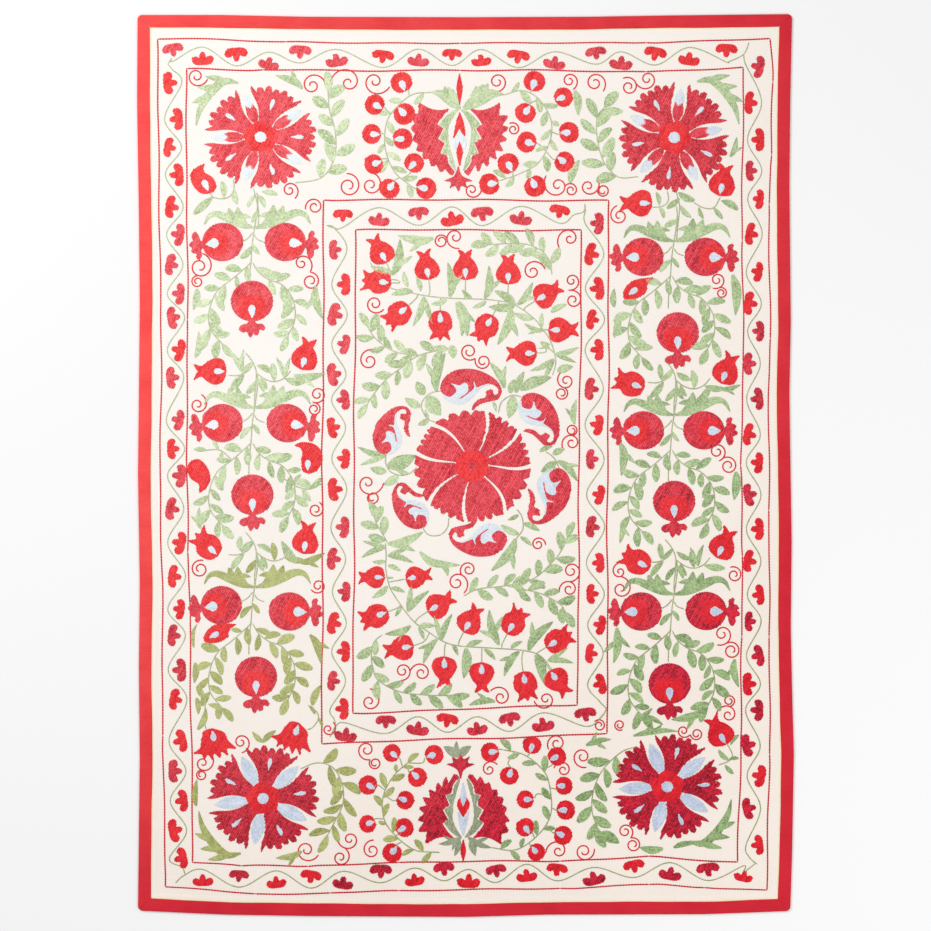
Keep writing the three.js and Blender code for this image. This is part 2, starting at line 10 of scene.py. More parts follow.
import bpy
import numpy as np
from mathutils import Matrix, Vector


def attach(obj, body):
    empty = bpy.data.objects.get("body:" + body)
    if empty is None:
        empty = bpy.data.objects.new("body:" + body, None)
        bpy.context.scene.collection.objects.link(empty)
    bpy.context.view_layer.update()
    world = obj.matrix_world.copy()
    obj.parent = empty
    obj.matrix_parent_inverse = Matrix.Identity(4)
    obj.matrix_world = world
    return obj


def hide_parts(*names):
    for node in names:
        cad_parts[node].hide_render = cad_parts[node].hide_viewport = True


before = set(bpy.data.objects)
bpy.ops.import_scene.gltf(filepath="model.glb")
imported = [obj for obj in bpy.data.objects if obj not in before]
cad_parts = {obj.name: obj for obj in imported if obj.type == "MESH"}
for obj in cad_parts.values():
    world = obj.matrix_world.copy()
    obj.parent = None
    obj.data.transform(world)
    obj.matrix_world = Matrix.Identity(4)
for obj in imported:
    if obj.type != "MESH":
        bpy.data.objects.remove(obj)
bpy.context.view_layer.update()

MM = 0.001
rng = np.random.default_rng(7)


def table(columns, rows):
    """Rows with named columns. A row may leave out its last ones, which then have a default."""
    return [dict(zip(columns.split(), row)) for row in rows]


def add_piece(name, points, faces, material):
    """A piece of cloth or thread from points in millimetres and four-cornered faces."""
    mesh = bpy.data.meshes.new(name)
    fill_mesh(mesh, points * MM, faces)
    mesh.materials.append(material)
    piece = bpy.data.objects.new(name, mesh)
    bpy.context.scene.collection.objects.link(piece)
    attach(piece, "root")
    return piece


def fill_mesh(mesh, points, faces):
    """Gives a mesh its points and its four-cornered faces, smoothly shaded."""
    mesh.vertices.add(len(points))
    mesh.vertices.foreach_set("co", points.astype(np.float32).ravel())
    mesh.loops.add(4 * len(faces))
    mesh.loops.foreach_set("vertex_index", faces.astype(np.int32).ravel())
    mesh.polygons.add(len(faces))
    mesh.polygons.foreach_set("loop_start", np.arange(0, 4 * len(faces), 4, dtype=np.int32))
    mesh.polygons.foreach_set("use_smooth", np.ones(len(faces), bool))
    mesh.update(calc_edges=True)
    mesh.validate()


# ------------------------------------------------------------------ sizes

HALF_WIDTH = 729
HALF_LENGTH = 1002
CLOTH_TOP = 1.6          # height of the ground's face
HEM_TOP = 2.3            # of the hem turned over the ground's edge
HEM_REACH = 40           # how far in from the edge the hem reaches
BINDING_WIDTH = 28
BINDING_LAYER = 1.0      # one layer of the binding
CORNER_RADIUS = 10
GAP = 0.3
EDGE_FADE = 90           # how far in the unevenness of an edge is felt

ROW_PITCH = 4.5          # between two rows of couched thread in a filled motif
ROW_HEIGHT = 1.0         # of a row above the cloth
ROW_STEP = 8.0           # length of one piece of a row
ROW_LEAN = 62            # degrees from the width of the hanging, as every red motif is worked

# ------------------------------------------------------------------ the uneven edges

# How far each edge strays from a true rectangle: (place along it, how far off). The binding's edge
# was measured in the photograph every 40 pixels, and rounded.
EDGES = {
    "left": [(-1002, 2), (-820, 4), (-650, 6), (-450, 4), (-260, 6), (-20, 2), (150, 4),
             (360, 6), (560, 4), (800, 0), (1002, 1)],
    "right": [(-1002, -8), (-860, -4), (-640, 0), (-500, -4), (-360, -7), (-170, -5), (20, -8),
              (160, -10), (320, -7), (620, -10), (820, -8), (1002, -4)],
    "top": [(-729, -2), (-540, -2), (-350, -6), (0, -7), (270, -6), (450, -3), (729, 0)],
    "bottom": [(-729, 14), (-620, 9), (-530, 5), (-350, 2), (0, 0), (180, 5), (530, 6),
               (729, 13)],
}


def off_edge(side, at):
    places, offs = zip(*EDGES[side])
    return np.interp(at, places, offs)


def made_uneven(x, y):
    """Points moved sideways by the unevenness of the edges near them."""
    def fade(distance):
        return np.clip(1 - np.maximum(np.abs(distance) - BINDING_WIDTH - 4, 0) / EDGE_FADE, 0, 1)
    across = off_edge("left", y) * fade(x + HALF_WIDTH)
    across = across + off_edge("right", y) * fade(HALF_WIDTH - x)
    up = off_edge("top", x) * fade(HALF_LENGTH - y)
    up = up + off_edge("bottom", x) * fade(y + HALF_LENGTH)
    return x + across, y + up


# ------------------------------------------------------------------ the lie of the cloth

# Creases from folding: where each runs, its height (below 0 for a trough) and its softness.
CREASES = table("across at high soft from to drift", [
    (True, -34, 2.1, 7, -690, 690, 5),
    (True, -46, -0.8, 6, -690, 690, 5),
    (True, -243, 0.35, 6, -600, 300, 6),
    (True, -363, 0.4, 7, -650, 500, 7),
    (True, -498, 0.7, 8, -560, 660, 4),
    (True, -642, 0.4, 7, -660, 640, 6),
    (True, 470, 0.35, 8, -560, 600, 5),
    (False, -3, 0.5, 6, -900, 930, 5),
    (False, 360, 0.3, 8, -880, 800, 6),
    (False, -365, 0.3, 8, -880, 900, 6),
])
CREASE_DRIFT = 190       # sets how long the bends of a crease are
CREASE_SWELL = 61        # and how long the stretches where it is high or low
CREASE_END = 90          # how long it takes to fade out
LOFT = 0.8               # how far the face stands above CLOTH_TOP, beside puckers and creases
PUCKER_WAVES = 26        # how many waves make up the cloth's unevenness
PUCKER_HEIGHT = 0.2
WAVE_LENGTHS = (70, 330)

wave_rng = np.random.default_rng(31)
wave_long = wave_rng.uniform(*WAVE_LENGTHS, PUCKER_WAVES)
wave_turn = wave_rng.uniform(0, 2 * math.pi, PUCKER_WAVES)
wave_start = wave_rng.uniform(0, 2 * math.pi, PUCKER_WAVES)


def inset_of(x, y):
    return np.minimum(HALF_WIDTH - np.abs(x), HALF_LENGTH - np.abs(y))


def smoothstep(low, high, value):
    t = np.clip((value - low) / (high - low), 0, 1)
    return t * t * (3 - 2 * t)


def cloth_height(x, y):
    """Height of the ground's face, with its puckers, creases and hem."""
    puckers = np.zeros_like(x, dtype=float)
    for long, turn, start in zip(wave_long, wave_turn, wave_start):
        k = 2 * math.pi / long
        height = PUCKER_HEIGHT * (long / WAVE_LENGTHS[1]) ** 0.7
        puckers += height * np.cos(k * (x * math.cos(turn) + y * math.sin(turn)) + start)
    folds = np.zeros_like(puckers)
    for crease in CREASES:
        run, side = (x, y) if crease["across"] else (y, x)
        middle = crease["at"] + crease["drift"] * np.sin(run / CREASE_DRIFT + crease["at"])
        ends = smoothstep(crease["from"], crease["from"] + CREASE_END, run)
        ends = ends * (1 - smoothstep(crease["to"] - CREASE_END, crease["to"], run))
        uneven = 0.75 + 0.25 * np.sin(run / CREASE_SWELL + crease["at"])
        bell = np.exp(-0.5 * ((side - middle) / crease["soft"]) ** 2)
        folds += crease["high"] * ends * uneven * bell
    inset = inset_of(x, y)
    inside = smoothstep(HEM_REACH - 6, HEM_REACH + 40, inset)
    hem = (HEM_TOP - CLOTH_TOP) * (1 - smoothstep(HEM_REACH - 2.5, HEM_REACH + 1.5, inset))
    return CLOTH_TOP + hem + inside * np.maximum(LOFT + puckers + folds, 0.0)


# ------------------------------------------------------------------ meshes of thread

FULL_SECTION = [(-1, 0.0), (-0.55, 0.78), (0, 1.0), (0.55, 0.78), (1, 0.0)]
SLIM_SECTION = [(-1, 0.0), (0, 1.0), (1, 0.0)]
FOOT = 0.2               # how far above the ground's face a thread's foot lies
LINE_END = 0.45          # how thin a line of stitches gets at its ends, as a share


class Threads:
    """Strands of thread of one colour, gathered into one mesh."""

    def __init__(self, name):
        self.name = name
        self.points, self.faces, self.marks = [], [], []
        self.count = 0

    def lay(self, paths, half, high, lift, tone, section=FULL_SECTION):
        """Strands that follow paths, an array [strand, ring, xy]; half, high and lift are
        [strand, ring], and tone is one number for each strand."""
        paths = np.asarray(paths, float)
        strands, rings, _ = paths.shape
        ahead = np.gradient(paths, axis=1)
        size = np.maximum(np.linalg.norm(ahead, axis=2, keepdims=True), 1e-9)
        ahead = ahead / size
        left = np.stack([-ahead[..., 1], ahead[..., 0]], 2)
        steps = np.linalg.norm(np.diff(paths, axis=1), axis=2)
        run = np.concatenate([np.zeros((strands, 1)), np.cumsum(steps, 1)], 1)
        across = np.array([place for place, _ in section])
        crown = np.array([up for _, up in section])
        width = len(section)
        x = paths[..., 0, None] + left[..., 0, None] * half[..., None] * across
        y = paths[..., 1, None] + left[..., 1, None] * half[..., None] * across
        z = cloth_height(x, y) + lift[..., None] + FOOT + high[..., None] * crown
        x, y = made_uneven(x, y)
        self.points.append(np.stack([x, y, z], 3).reshape(-1, 3))
        mark = np.empty((strands, rings, width, 3))
        mark[..., 0] = run[..., None]
        mark[..., 1] = (across + 1) / 2
        mark[..., 2] = np.asarray(tone)[:, None, None]
        self.marks.append(mark.reshape(-1, 3))
        strand, ring, place = np.meshgrid(
            np.arange(strands), np.arange(rings - 1), np.arange(width - 1), indexing="ij")
        first = self.count + (strand * rings + ring) * width + place
        first = first.reshape(-1)
        quads = np.stack([first, first + width, first + width + 1, first + 1], 1)
        self.faces.append(quads[:, ::-1])
        self.count += strands * rings * width

    def line(self, points, half, high, tone, lift=0.0, stitch=0.0, step=3.0):
        """One strand along a drawn line; stitch is how much each stitch swells it."""
        path = evenly(np.asarray(points, float), step)
        if len(path) < 2:
            return
        n = len(path)
        swell = 1 + stitch * np.where(np.arange(n) % 2 == 0, 1, -1)
        ends = np.ones(n)
        ends[0] = ends[-1] = LINE_END
        self.lay(path[None], (half * swell * ends)[None], (high * swell * ends)[None],
                 np.full((1, n), lift), [tone], SLIM_SECTION)

    def build(self, material):
        faces = np.concatenate(self.faces)
        piece = add_piece(self.name, np.concatenate(self.points), faces, material)
        marks = piece.data.attributes.new("strand", "FLOAT_VECTOR", "POINT")
        marks.data.foreach_set("vector", np.concatenate(self.marks).astype(np.float32).ravel())
        print(f"{self.name}: {2 * len(faces)} triangles")
        return piece


# ------------------------------------------------------------------ drawing

def evenly(points, step):
    """A line's points again, evenly spaced along it."""
    gaps = np.linalg.norm(np.diff(points, axis=0), axis=1)
    run = np.concatenate([[0], np.cumsum(gaps)])
    count = max(2, int(round(run[-1] / step)) + 1)
    at = np.linspace(0, run[-1], count)
    return np.stack([np.interp(at, run, points[:, 0]), np.interp(at, run, points[:, 1])], 1)


def heading(path):
    """A path's direction at each of its points, and the direction to its left."""
    ahead = np.gradient(path, axis=0)
    ahead /= np.maximum(np.linalg.norm(ahead, axis=1, keepdims=True), 1e-9)
    return ahead, np.stack([-ahead[:, 1], ahead[:, 0]], 1)


def spline(points, parts=6, closed=False):
    """A smooth line through points (Catmull-Rom)."""
    p = np.asarray(points, float)
    if closed:
        p = np.concatenate([p[-1:], p, p[:2]])
    else:
        p = np.concatenate([2 * p[:1] - p[1:2], p, 2 * p[-1:] - p[-2:-1]])
    t = np.linspace(0, 1, parts, endpoint=False)[:, None]
    out = []
    for a, b, c, d in zip(p[:-3], p[1:-2], p[2:-1], p[3:]):
        out.append(0.5 * (2 * b + (c - a) * t + (2 * a - 5 * b + 4 * c - d) * t ** 2
                          + (3 * b - a - 3 * c + d) * t ** 3))
    if not closed:
        out.append(p[-2:-1])
    return np.concatenate(out)


def outline(points, sharp=()):
    """A closed outline through points, smooth but for the points whose numbers are sharp."""
    if not sharp:
        return spline(points, closed=True)
    p = np.asarray(points, float)
    sharp = sorted(sharp)
    spans = []
    for here, after in zip(sharp, sharp[1:] + [sharp[0] + len(p)]):
        span = np.take(p, range(here, after + 1), axis=0, mode="wrap")
        line = spline(span) if len(span) > 2 else span
        spans.append(line[:-1])
    return np.concatenate(spans)


def mirrored(points):
    """The other half of an outline whose points run from +Y down the right side."""
    return [(-x, y) for x, y in reversed(points)]


def placed(points, place):
    """An outline drawn about its own middle, set in its place: size, mirror, turn, squash, move."""
    p = np.asarray(points, float) * place.get("size", 1.0)
    if place.get("mirror"):
        p = p * (-1, 1)
    turn = math.radians(place.get("turn", 0))
    c, s = math.cos(turn), math.sin(turn)
    p = p @ np.array([[c, s], [-s, c]]) * (1, place.get("squash", 1.0))
    return p + (place["x"], place["y"])


def grown(points, by):
    """An outline moved outward by a distance, or inward where it is below 0."""
    p = np.asarray(points, float)
    ahead = np.roll(p, -1, 0) - np.roll(p, 1, 0)
    ahead = ahead / np.maximum(np.linalg.norm(ahead, axis=1, keepdims=True), 1e-9)
    x, y = p[:, 0], p[:, 1]
    area = np.sum(x * np.roll(y, -1) - y * np.roll(x, -1))
    out = np.stack([ahead[:, 1], -ahead[:, 0]], 1) * (1 if area > 0 else -1)
    return p + out * by


# ------------------------------------------------------------------ filling with rows

def crossings(outlines, level):
    """Where a level line meets closed outlines, from left to right."""
    found = []
    for p in outlines:
        q = np.roll(p, -1, 0)
        meets = (p[:, 1] > level) != (q[:, 1] > level)
        a, b = p[meets], q[meets]
        found.append(a[:, 0] + (level - a[:, 1]) * (b[:, 0] - a[:, 0]) / (b[:, 1] - a[:, 1]))
    return np.sort(np.concatenate(found))


SHORTEST_ROW = 0.7       # as a share of the pitch, like the two below
ROW_WOBBLE = 0.06
ROW_HALF = 0.6
ROW_END = 0.7            # how thin a row gets at its ends, as a share
RIM_STEP = 4.0           # between the points of the thread that runs round a motif


def fill(threads, outlines, lean=ROW_LEAN, pitch=ROW_PITCH, high=ROW_HEIGHT, edge=True,
         tone=(0.0, 1.0), section=FULL_SECTION, lift=0.0, reach=0.7):
    """Rows of couched thread over the area inside the first outline and outside the others."""
    turn = math.radians(lean)
    c, s = math.cos(turn), math.sin(turn)
    spin = np.array([[c, -s], [s, c]])
    turned = [np.asarray(o) @ spin for o in outlines]
    low, top = turned[0][:, 1].min(), turned[0][:, 1].max()
    rows = np.arange(low + pitch * rng.uniform(0.3, 0.7), top, pitch)
    groups = {}
    for level in rows:
        meets = crossings(turned, level)
        row_tone = rng.uniform(*tone)
        for start, end in zip(meets[::2], meets[1::2]):
            if end - start < SHORTEST_ROW * pitch:
                continue
            count = max(3, int(math.ceil((end - start) / ROW_STEP)) + 1)
            groups.setdefault(count, []).append((start - reach, end + reach, level, row_tone))
    for count, found in groups.items():
        found = np.array(found)
        t = np.linspace(0, 1, count)
        x = found[:, :1] + (found[:, 1:2] - found[:, :1]) * t
        y = np.repeat(found[:, 2:3], count, 1)
        y = y + rng.normal(0, ROW_WOBBLE * pitch, y.shape)
        ends = np.ones(count)
        ends[0] = ends[-1] = ROW_END
        half = ROW_HALF * pitch * ends * rng.uniform(0.94, 1.1, y.shape)
        up = high * ends * rng.uniform(0.8, 1.15, y.shape)
        paths = np.stack([x, y], 2) @ spin.T
        threads.lay(paths, half, up, np.full(y.shape, lift), found[:, 3], section)
    if edge:
        closed = np.concatenate([outlines[0], outlines[0][:1]])
        rim = grown(evenly(closed, RIM_STEP)[:-1], -1.0)
        rim = np.concatenate([rim, rim[:2]])
        threads.line(rim, 1.5, high * 1.05, rng.uniform(0.2, 0.7), lift, step=RIM_STEP)


def fill_drop(hollow, place, lean=80, pitch=3.0, lift=0.2):
    """A motif's hollow, filled with blue rows that lie across it."""
    fill(sky, [hollow], lean=place.get("turn", 0) + lean, pitch=pitch, lift=lift)


# ------------------------------------------------------------------ the threads

crimson = Threads("crimson_couching")
scarlet = Threads("scarlet_couching")
sky = Threads("light_blue_couching")
leaf = Threads("leaf_couching")
olive = Threads("olive_leaf_couching")
sage = Threads("sage_leaf_couching")
stem = Threads("stem_stitches")
red_line = Threads("red_chain_stitches")
edge_line = Threads("edge_running_stitches")

# ------------------------------------------------------------------ motifs
# Each is drawn about its own middle with its head at +Y.

DROP_WIDE, DROP_LONG = 19, 29
DROP = [(0, 14), (6, 4), (9.5, -5), (6, -12.5), (0, -14.5), (-6, -12.5), (-9.5, -5), (-6, 4)]


def drop(x, y, long, wide, turn=0.0):
    """A light-blue drop, its point at +Y before it is turned."""
    shape = outline([(px * wide / DROP_WIDE, py * long / DROP_LONG) for px, py in DROP], (0,))
    return placed(shape, {"x": x, "y": y, "turn": turn})


POMEGRANATE_CROWN = [
    (-4, 0), (-12, 8), (-24, 8), (-31, 15), (-27, 20), (-18, 18), (-15, 26), (-9, 30), (-4, 25),
    (0, 31), (5, 33), (9, 27), (12, 22), (20, 24), (29, 20), (30, 14), (20, 9), (10, 7), (4, 0),
]


def pomegranate(place):
    body = spline([(42 * math.sin(a), 45 * math.cos(a))
                   for a in np.linspace(0, 2 * math.pi, 12, endpoint=False)], closed=True)
    cheek = outline([(0, 41), (20, 34), (29, 16), (24, -4), (8, -12), (-8, -12), (-24, -4),
                     (-29, 16), (-20, 34)])
    slim = place.get("slim", 1.0)
    hollow = drop(0, 24, 30, 21 * slim)
    tall = (1 + slim) / 2
    crown = outline([(x * tall, y / tall + 42) for x, y in POMEGRANATE_CROWN], sharp=(0, 18))
    body, cheek, hollow, crown = (placed(o, place) for o in (body, cheek, hollow, crown))
    fill(crimson, [body, hollow])
    fill(scarlet, [cheek, hollow], edge=False, tone=(0.2, 0.9), lift=0.4)
    fill_drop(hollow, place, pitch=3.2, lift=0.4)
    fill(crimson, [crown], pitch=3.6, tone=(0.35, 1.0))


# A tulip's kinds: its outline, the numbers of its sharp points, and the place of its drop.
TULIPS = {
    "onion": {
        "points": [(0, -34), (11, -32), (24, -27), (29, -11), (21, 8), (12, 18), (12, 27), (17, 39),
                   (6, 33), (-1, 27), (-7, 33), (-19, 38), (-13, 27), (-12, 19), (-21, 9),
                   (-29, -8), (-24, -24), (-11, -31)],
        "sharp": (0, 7, 9, 11), "drop": (0, -19),
    },
    "crowned": {
        "points": [(0, -33), (17, -28), (26, -12), (26, 5), (18, 17), (20, 26), (27, 36),
                   (13, 31), (6, 29), (0, 39), (-6, 28), (-12, 29), (-24, 39), (-20, 26),
                   (-18, 17), (-27, 5), (-26, -12), (-17, -28)],
        "sharp": (0, 6, 9, 12), "drop": (0, -17),
    },
    "slim": {
        "points": [(4, 46), (6, 26), (18, 14), (18, -8), (8, -28), (-2, -34), (-14, -22),
                   (-19, 0), (-13, 18), (-6, 30)],
        "sharp": (0,), "drop": (0, -10),
    },
    "hand": {
        "points": [(0, -30), (18, -27), (27, -10), (34, 8), (52, 17), (33, 22), (31, 35),
                   (20, 25), (12, 39), (6, 25), (-6, 39), (-11, 24), (-24, 37), (-24, 20),
                   (-46, 25), (-30, 4), (-24, -16)],
        "sharp": (0, 4, 6, 8, 10, 12, 14), "drop": (0, -14),
    },
    "comma": {
        "points": [(2, -34), (20, -26), (31, -4), (27, 18), (10, 32), (-14, 35), (-33, 28),
                   (-18, 24), (-12, 12), (-15, 0), (-14, -14), (-12, -28)],
        "sharp": (0, 6), "drop": (-1, -16),
    },
}


def tulip(place):
    kind = TULIPS[place.get("kind", "onion")]
    body = placed(outline(kind["points"], kind["sharp"]), place)
    hollow = placed(drop(*kind["drop"], 24, 13, 180), place)
    threads = scarlet if place.get("bright", True) else crimson
    fill(threads, [body, hollow], reach=1.0, pitch=4.0, tone=(0.2, 0.9))
    fill_drop(hollow, place, lean=85)


# A bud's outline is not the same on both sides: its point bends over.
BUD = [(2, 36), (1, 19), (20, 6), (28, -12), (20, -26), (-3, -29), (-21, -13), (-28, 9),
       (-18, 26)]


def bud(place):
    body = placed(outline(BUD, (0,)), place)
    hollow = placed(drop(6, -12, 27, 14, 205), place)
    fill(scarlet, [body, hollow] if place["drop"] else [body])
    if place["drop"]:
        fill_drop(hollow, place)


def fruit(place):
    """A small round fruit; its drop's point lies on the side of its twig, at +Y."""
    body = outline([(3, 20), (14, 17), (22, 5), (20, -10), (9, -20), (-8, -20), (-20, -10),
                    (-21, 6), (-12, 17)])
    hollow = drop(0, 8, 24, 14)
    body, hollow = placed(body, place), placed(hollow, place)
    fill(scarlet, [body, hollow], reach=1.0)
    fill_drop(hollow, place)


BLOSSOM = [(0, -12.5), (10, -12.5), (18, -10), (22.5, -4), (22, 2.5), (17, 6), (11, 4.5),
           (7, 1.5), (5.8, 7), (4.2, 13), (0, 15.5)]


def blossom(place, threads):
    shape = outline(BLOSSOM + mirrored(BLOSSOM[1:-1]))
    fill(threads, [placed(shape, place)], pitch=4.0)


# ------------------------------------------------------------------ rosettes

# The radius, hub and eye are sizes. The rest are shares: of a fan's half pitch for its ear, of the
# ear for the span of its fingers, and of the radius for how far ear, notches and fingers reach.
ROSETTE = {"radius": 127, "hub": 38, "fans": 5, "fingers": 5, "ear": 0.78, "ear_reach": 1.03,
           "notch": 0.87, "long_finger": 0.985, "short_finger": 0.95, "span": 0.8, "eye": 13}
FINGER_TIP = 1.02        # how far a finger's tip reaches past its shoulders, as a share
FINGER_SHOULDER = 0.28   # how far a finger's shoulders lie from its middle, in steps
# A fan's sides: how far out, as a share of the radius, and half the gap beside it there.
FAN_SIDES = [(0.32, 9), (0.5, 17), (0.68, 19), (0.88, 16)]


def polar(radius, turn):
    return radius * math.cos(turn), radius * math.sin(turn)


def corner_rosette(place):
    size = ROSETTE
    radius, hub, fans, fingers = size["radius"], size["hub"], size["fans"], size["fingers"]
    half_pitch = math.pi / fans
    ear = half_pitch * size["ear"]
    span = ear * size["span"]
    step = 2 * span / fingers
    notch = radius * size["notch"]
    for i in range(fans):
        turn = math.pi / 2 + 2 * half_pitch * i
        side = [(radius * at, half_pitch - gap / (radius * at)) for at, gap in FAN_SIDES]
        points = [polar(r, turn - a) for r, a in side]
        sharp = [len(points)]
        points.append(polar(radius * size["ear_reach"], turn - ear))
        for k in range(fingers):
            middle = turn - span + 2 * span * (k + 0.5) / fingers
            reach = radius * size["long_finger" if k % 2 else "short_finger"]
            sharp.append(len(points))
            points += [polar(notch, middle - step / 2),
                       polar(reach, middle - step * FINGER_SHOULDER),
                       polar(reach * FINGER_TIP, middle),
                       polar(reach, middle + step * FINGER_SHOULDER)]
        sharp += [len(points), len(points) + 1]
        points += [polar(notch, turn + span), polar(radius * size["ear_reach"], turn + ear)]
        points += [polar(r, turn + a) for r, a in reversed(side)]
        sharp += [len(points), len(points) + 1]
        points += [polar(hub * 0.9, turn + half_pitch * a) for a in (0.6, -0.6)]
        fan = placed(outline(points, sharp), place)
        hollow = placed(drop(*polar(radius * 0.66, turn), 30, 9, math.degrees(turn) + 90), place)
        fill(crimson, [fan, hollow], tone=place["tone"])
        fill_drop(hollow, place, lean=math.degrees(turn))
        slit_petal(place, turn + half_pitch)
    rim = placed(ring(2 * fans, hub * 0.92, hub * 1.08), place)
    eye = placed(ring(8, size["eye"], size["eye"]), place)
    fill(scarlet, [rim, grown(eye, 0.5)], lift=0.1)
    fill(sky, [eye], lean=60, pitch=3.0, high=0.9)


def ring(count, even, odd):
    """A closed line round the middle, through points at two radii by turns."""
    return spline([polar(odd if k % 2 else even, 2 * math.pi * k / count) for k in range(count)],
                  closed=True)


# The slim petals between the fans: how far out, and how far aside.
BLUE_PETAL = [(37, 0), (44, 8), (60, 13), (80, 13.5), (98, 8.5), (113, 0), (98, -8.5),
              (80, -13.5), (60, -13), (44, -8)]
RED_PETAL = [(36, 0), (46, 8), (62, 12), (84, 8), (74, 0), (84, -8), (62, -12), (46, -8)]
PETAL_TIP = [(73, 0), (82, 9), (97, 9.5), (114, 0), (97, -9.5), (82, -9)]


def slit_petal(place, turn):
    """The slim petal in the slit between two fans: blue, or red with a blue tip."""
    c, s = math.cos(turn), math.sin(turn)

    def work(threads, points, sharp, **looks):
        about = [(r * c - w * s, r * s + w * c) for r, w in points]
        fill(threads, [placed(outline(about, sharp), place)],
             lean=math.degrees(turn) + place["turn"], **looks)

    if place["blue_petals"]:
        work(sky, BLUE_PETAL, (5,), pitch=3.4, high=0.9)
    else:
        work(crimson, RED_PETAL, (3, 4, 5), pitch=3.6, tone=(0.4, 1.0))
        work(sky, PETAL_TIP, (3,), pitch=3.0, high=0.8)


PINWHEEL = {"radius": 131, "hub": 38, "slit": 1.8, "flare": 4.2, "fingers": 4, "shoulder": 7}
# Where each slit of the middle rosette starts at the hub, where it ends at the rim, and how far it
# bows, in degrees.
SLITS = table("inner outer bow", [
    (2, 0, -5), (28, 38, -3), (66, 76, -3), (118, 133, -3), (168, 166, 4), (210, 222, -3),
    (256, 264, -3), (318, 304, 4),
])


def middle_rosette(place):
    radius, hub, slit = PINWHEEL["radius"], PINWHEEL["hub"], PINWHEEL["slit"]

    def edge(row, sign):
        points = []
        for t in (0, 0.25, 0.5, 0.75, 1):
            r = hub + (radius * 1.02 - hub) * t
            a = row["inner"] + (row["outer"] - row["inner"]) * t
            a += row["bow"] * math.sin(math.pi * t)
            wide = slit + PINWHEEL["flare"] * t
            points.append(polar(r, math.radians(a) + sign * wide / r))
        return points

    for i, row in enumerate(SLITS):
        after = dict(SLITS[(i + 1) % len(SLITS)])
        if i + 1 == len(SLITS):
            after["inner"] += 360
            after["outer"] += 360
        points = edge(row, 1)
        sharp = [0, len(points) - 1]
        start = math.radians(row["outer"]) + PINWHEEL["shoulder"] / radius
        end = math.radians(after["outer"]) - PINWHEEL["shoulder"] / radius
        step = (end - start) / PINWHEEL["fingers"]
        for k in range(PINWHEEL["fingers"]):
            middle = start + step * (k + 0.5)
            if k:
                sharp.append(len(points))
                points.append(polar(radius * 0.9, middle - step / 2))
            points.append(polar(radius * 0.985, middle - step * 0.25))
            points.append(polar(radius, middle + step * 0.15))
        sharp.append(len(points))
        points += edge(after, -1)[::-1]
        sharp.append(len(points) - 1)
        fill(crimson, [placed(outline(points, sharp), place)])
    rim, eye = placed(ring(16, hub * 0.94, hub * 1.04), place), placed(ring(8, 10, 10), place)
    fill(scarlet, [rim, eye], lift=0.1)
    fill(crimson, [eye], pitch=3.5, tone=(0.0, 0.3))


# From the bulb round the back to the tail (13), its curl (18), the edge against the blue leaf
# (23 to 34), and the bulb's other side.
PAISLEY = [
    (-67, -11), (-66, 2), (-57, 17), (-36, 31), (-11, 35), (12, 33), (33, 25), (51, 14), (62, 2),
    (68, -15), (60, -31), (44, -36), (21, -42), (2, -57), (5, -45), (17, -33), (34, -28),
    (35, -15), (47, -9), (51, -22), (60, -20), (61, -9), (51, 0), (42, 2), (27, 0), (13, -6),
    (6, 9), (4, -10), (-26, -31), (-9, -20), (-5, -7), (-8, 3), (-16, 5), (-24, -1), (-45, 4),
    (-37, -4), (-33, -13), (-41, -23), (-50, -26), (-61, -20),
]
PAISLEY_BELLY = [(-61, -28), (-50, -37), (-27, -44), (-7, -38), (9, -23), (23, -7)]


def paisley(place):
    body = placed(outline(PAISLEY, (13, 18, 25, 26, 28, 33, 34)), place)
    fill(crimson, [body], tone=(0.2, 1.0))
    inner = placed(outline(PAISLEY[23:] + PAISLEY_BELLY, (0, 2, 3, 5, 10, 11)), place)
    fill(sky, [grown(inner, -1.0)], lean=place["turn"] + 60, pitch=3.4, high=0.9)


SPINDLE = [(0, 1), (5, 0.68), (6, 0.47), (0, 0), (-6, 0.47), (-5, 0.68)]
# The tips of a palmette's fingers, from its foot round to its horn, and how deep the notches
# between them are cut, as a share of the way to the fan's middle.
FINGER_TIPS = [(20, -76), (42, -70), (62, -57), (80, -40), (95, -22), (104, 2), (108, 28),
               (107, 54), (90, 84)]
FINGER_NOTCH = {-1: 0.15, 1: 0.24}
FAN_MIDDLE = (48, 12)
FAN_INSIDE = [(66, 71), (44, 67), (22, 71), (38, 55), (51, 36), (37, 27), (50, 5), (34, -6),
              (44, -29), (28, -33), (25, -51), (11, -70)]
SERRATED_LEAF = [(3, 69), (15, 65), (29, 55), (46, 35), (32, 27), (45, 5), (29, -5), (40, -28),
                 (23, -31), (21, -49), (8, -68), (14, -44), (22, -18), (26, 8), (25, 32),
                 (12, 57)]


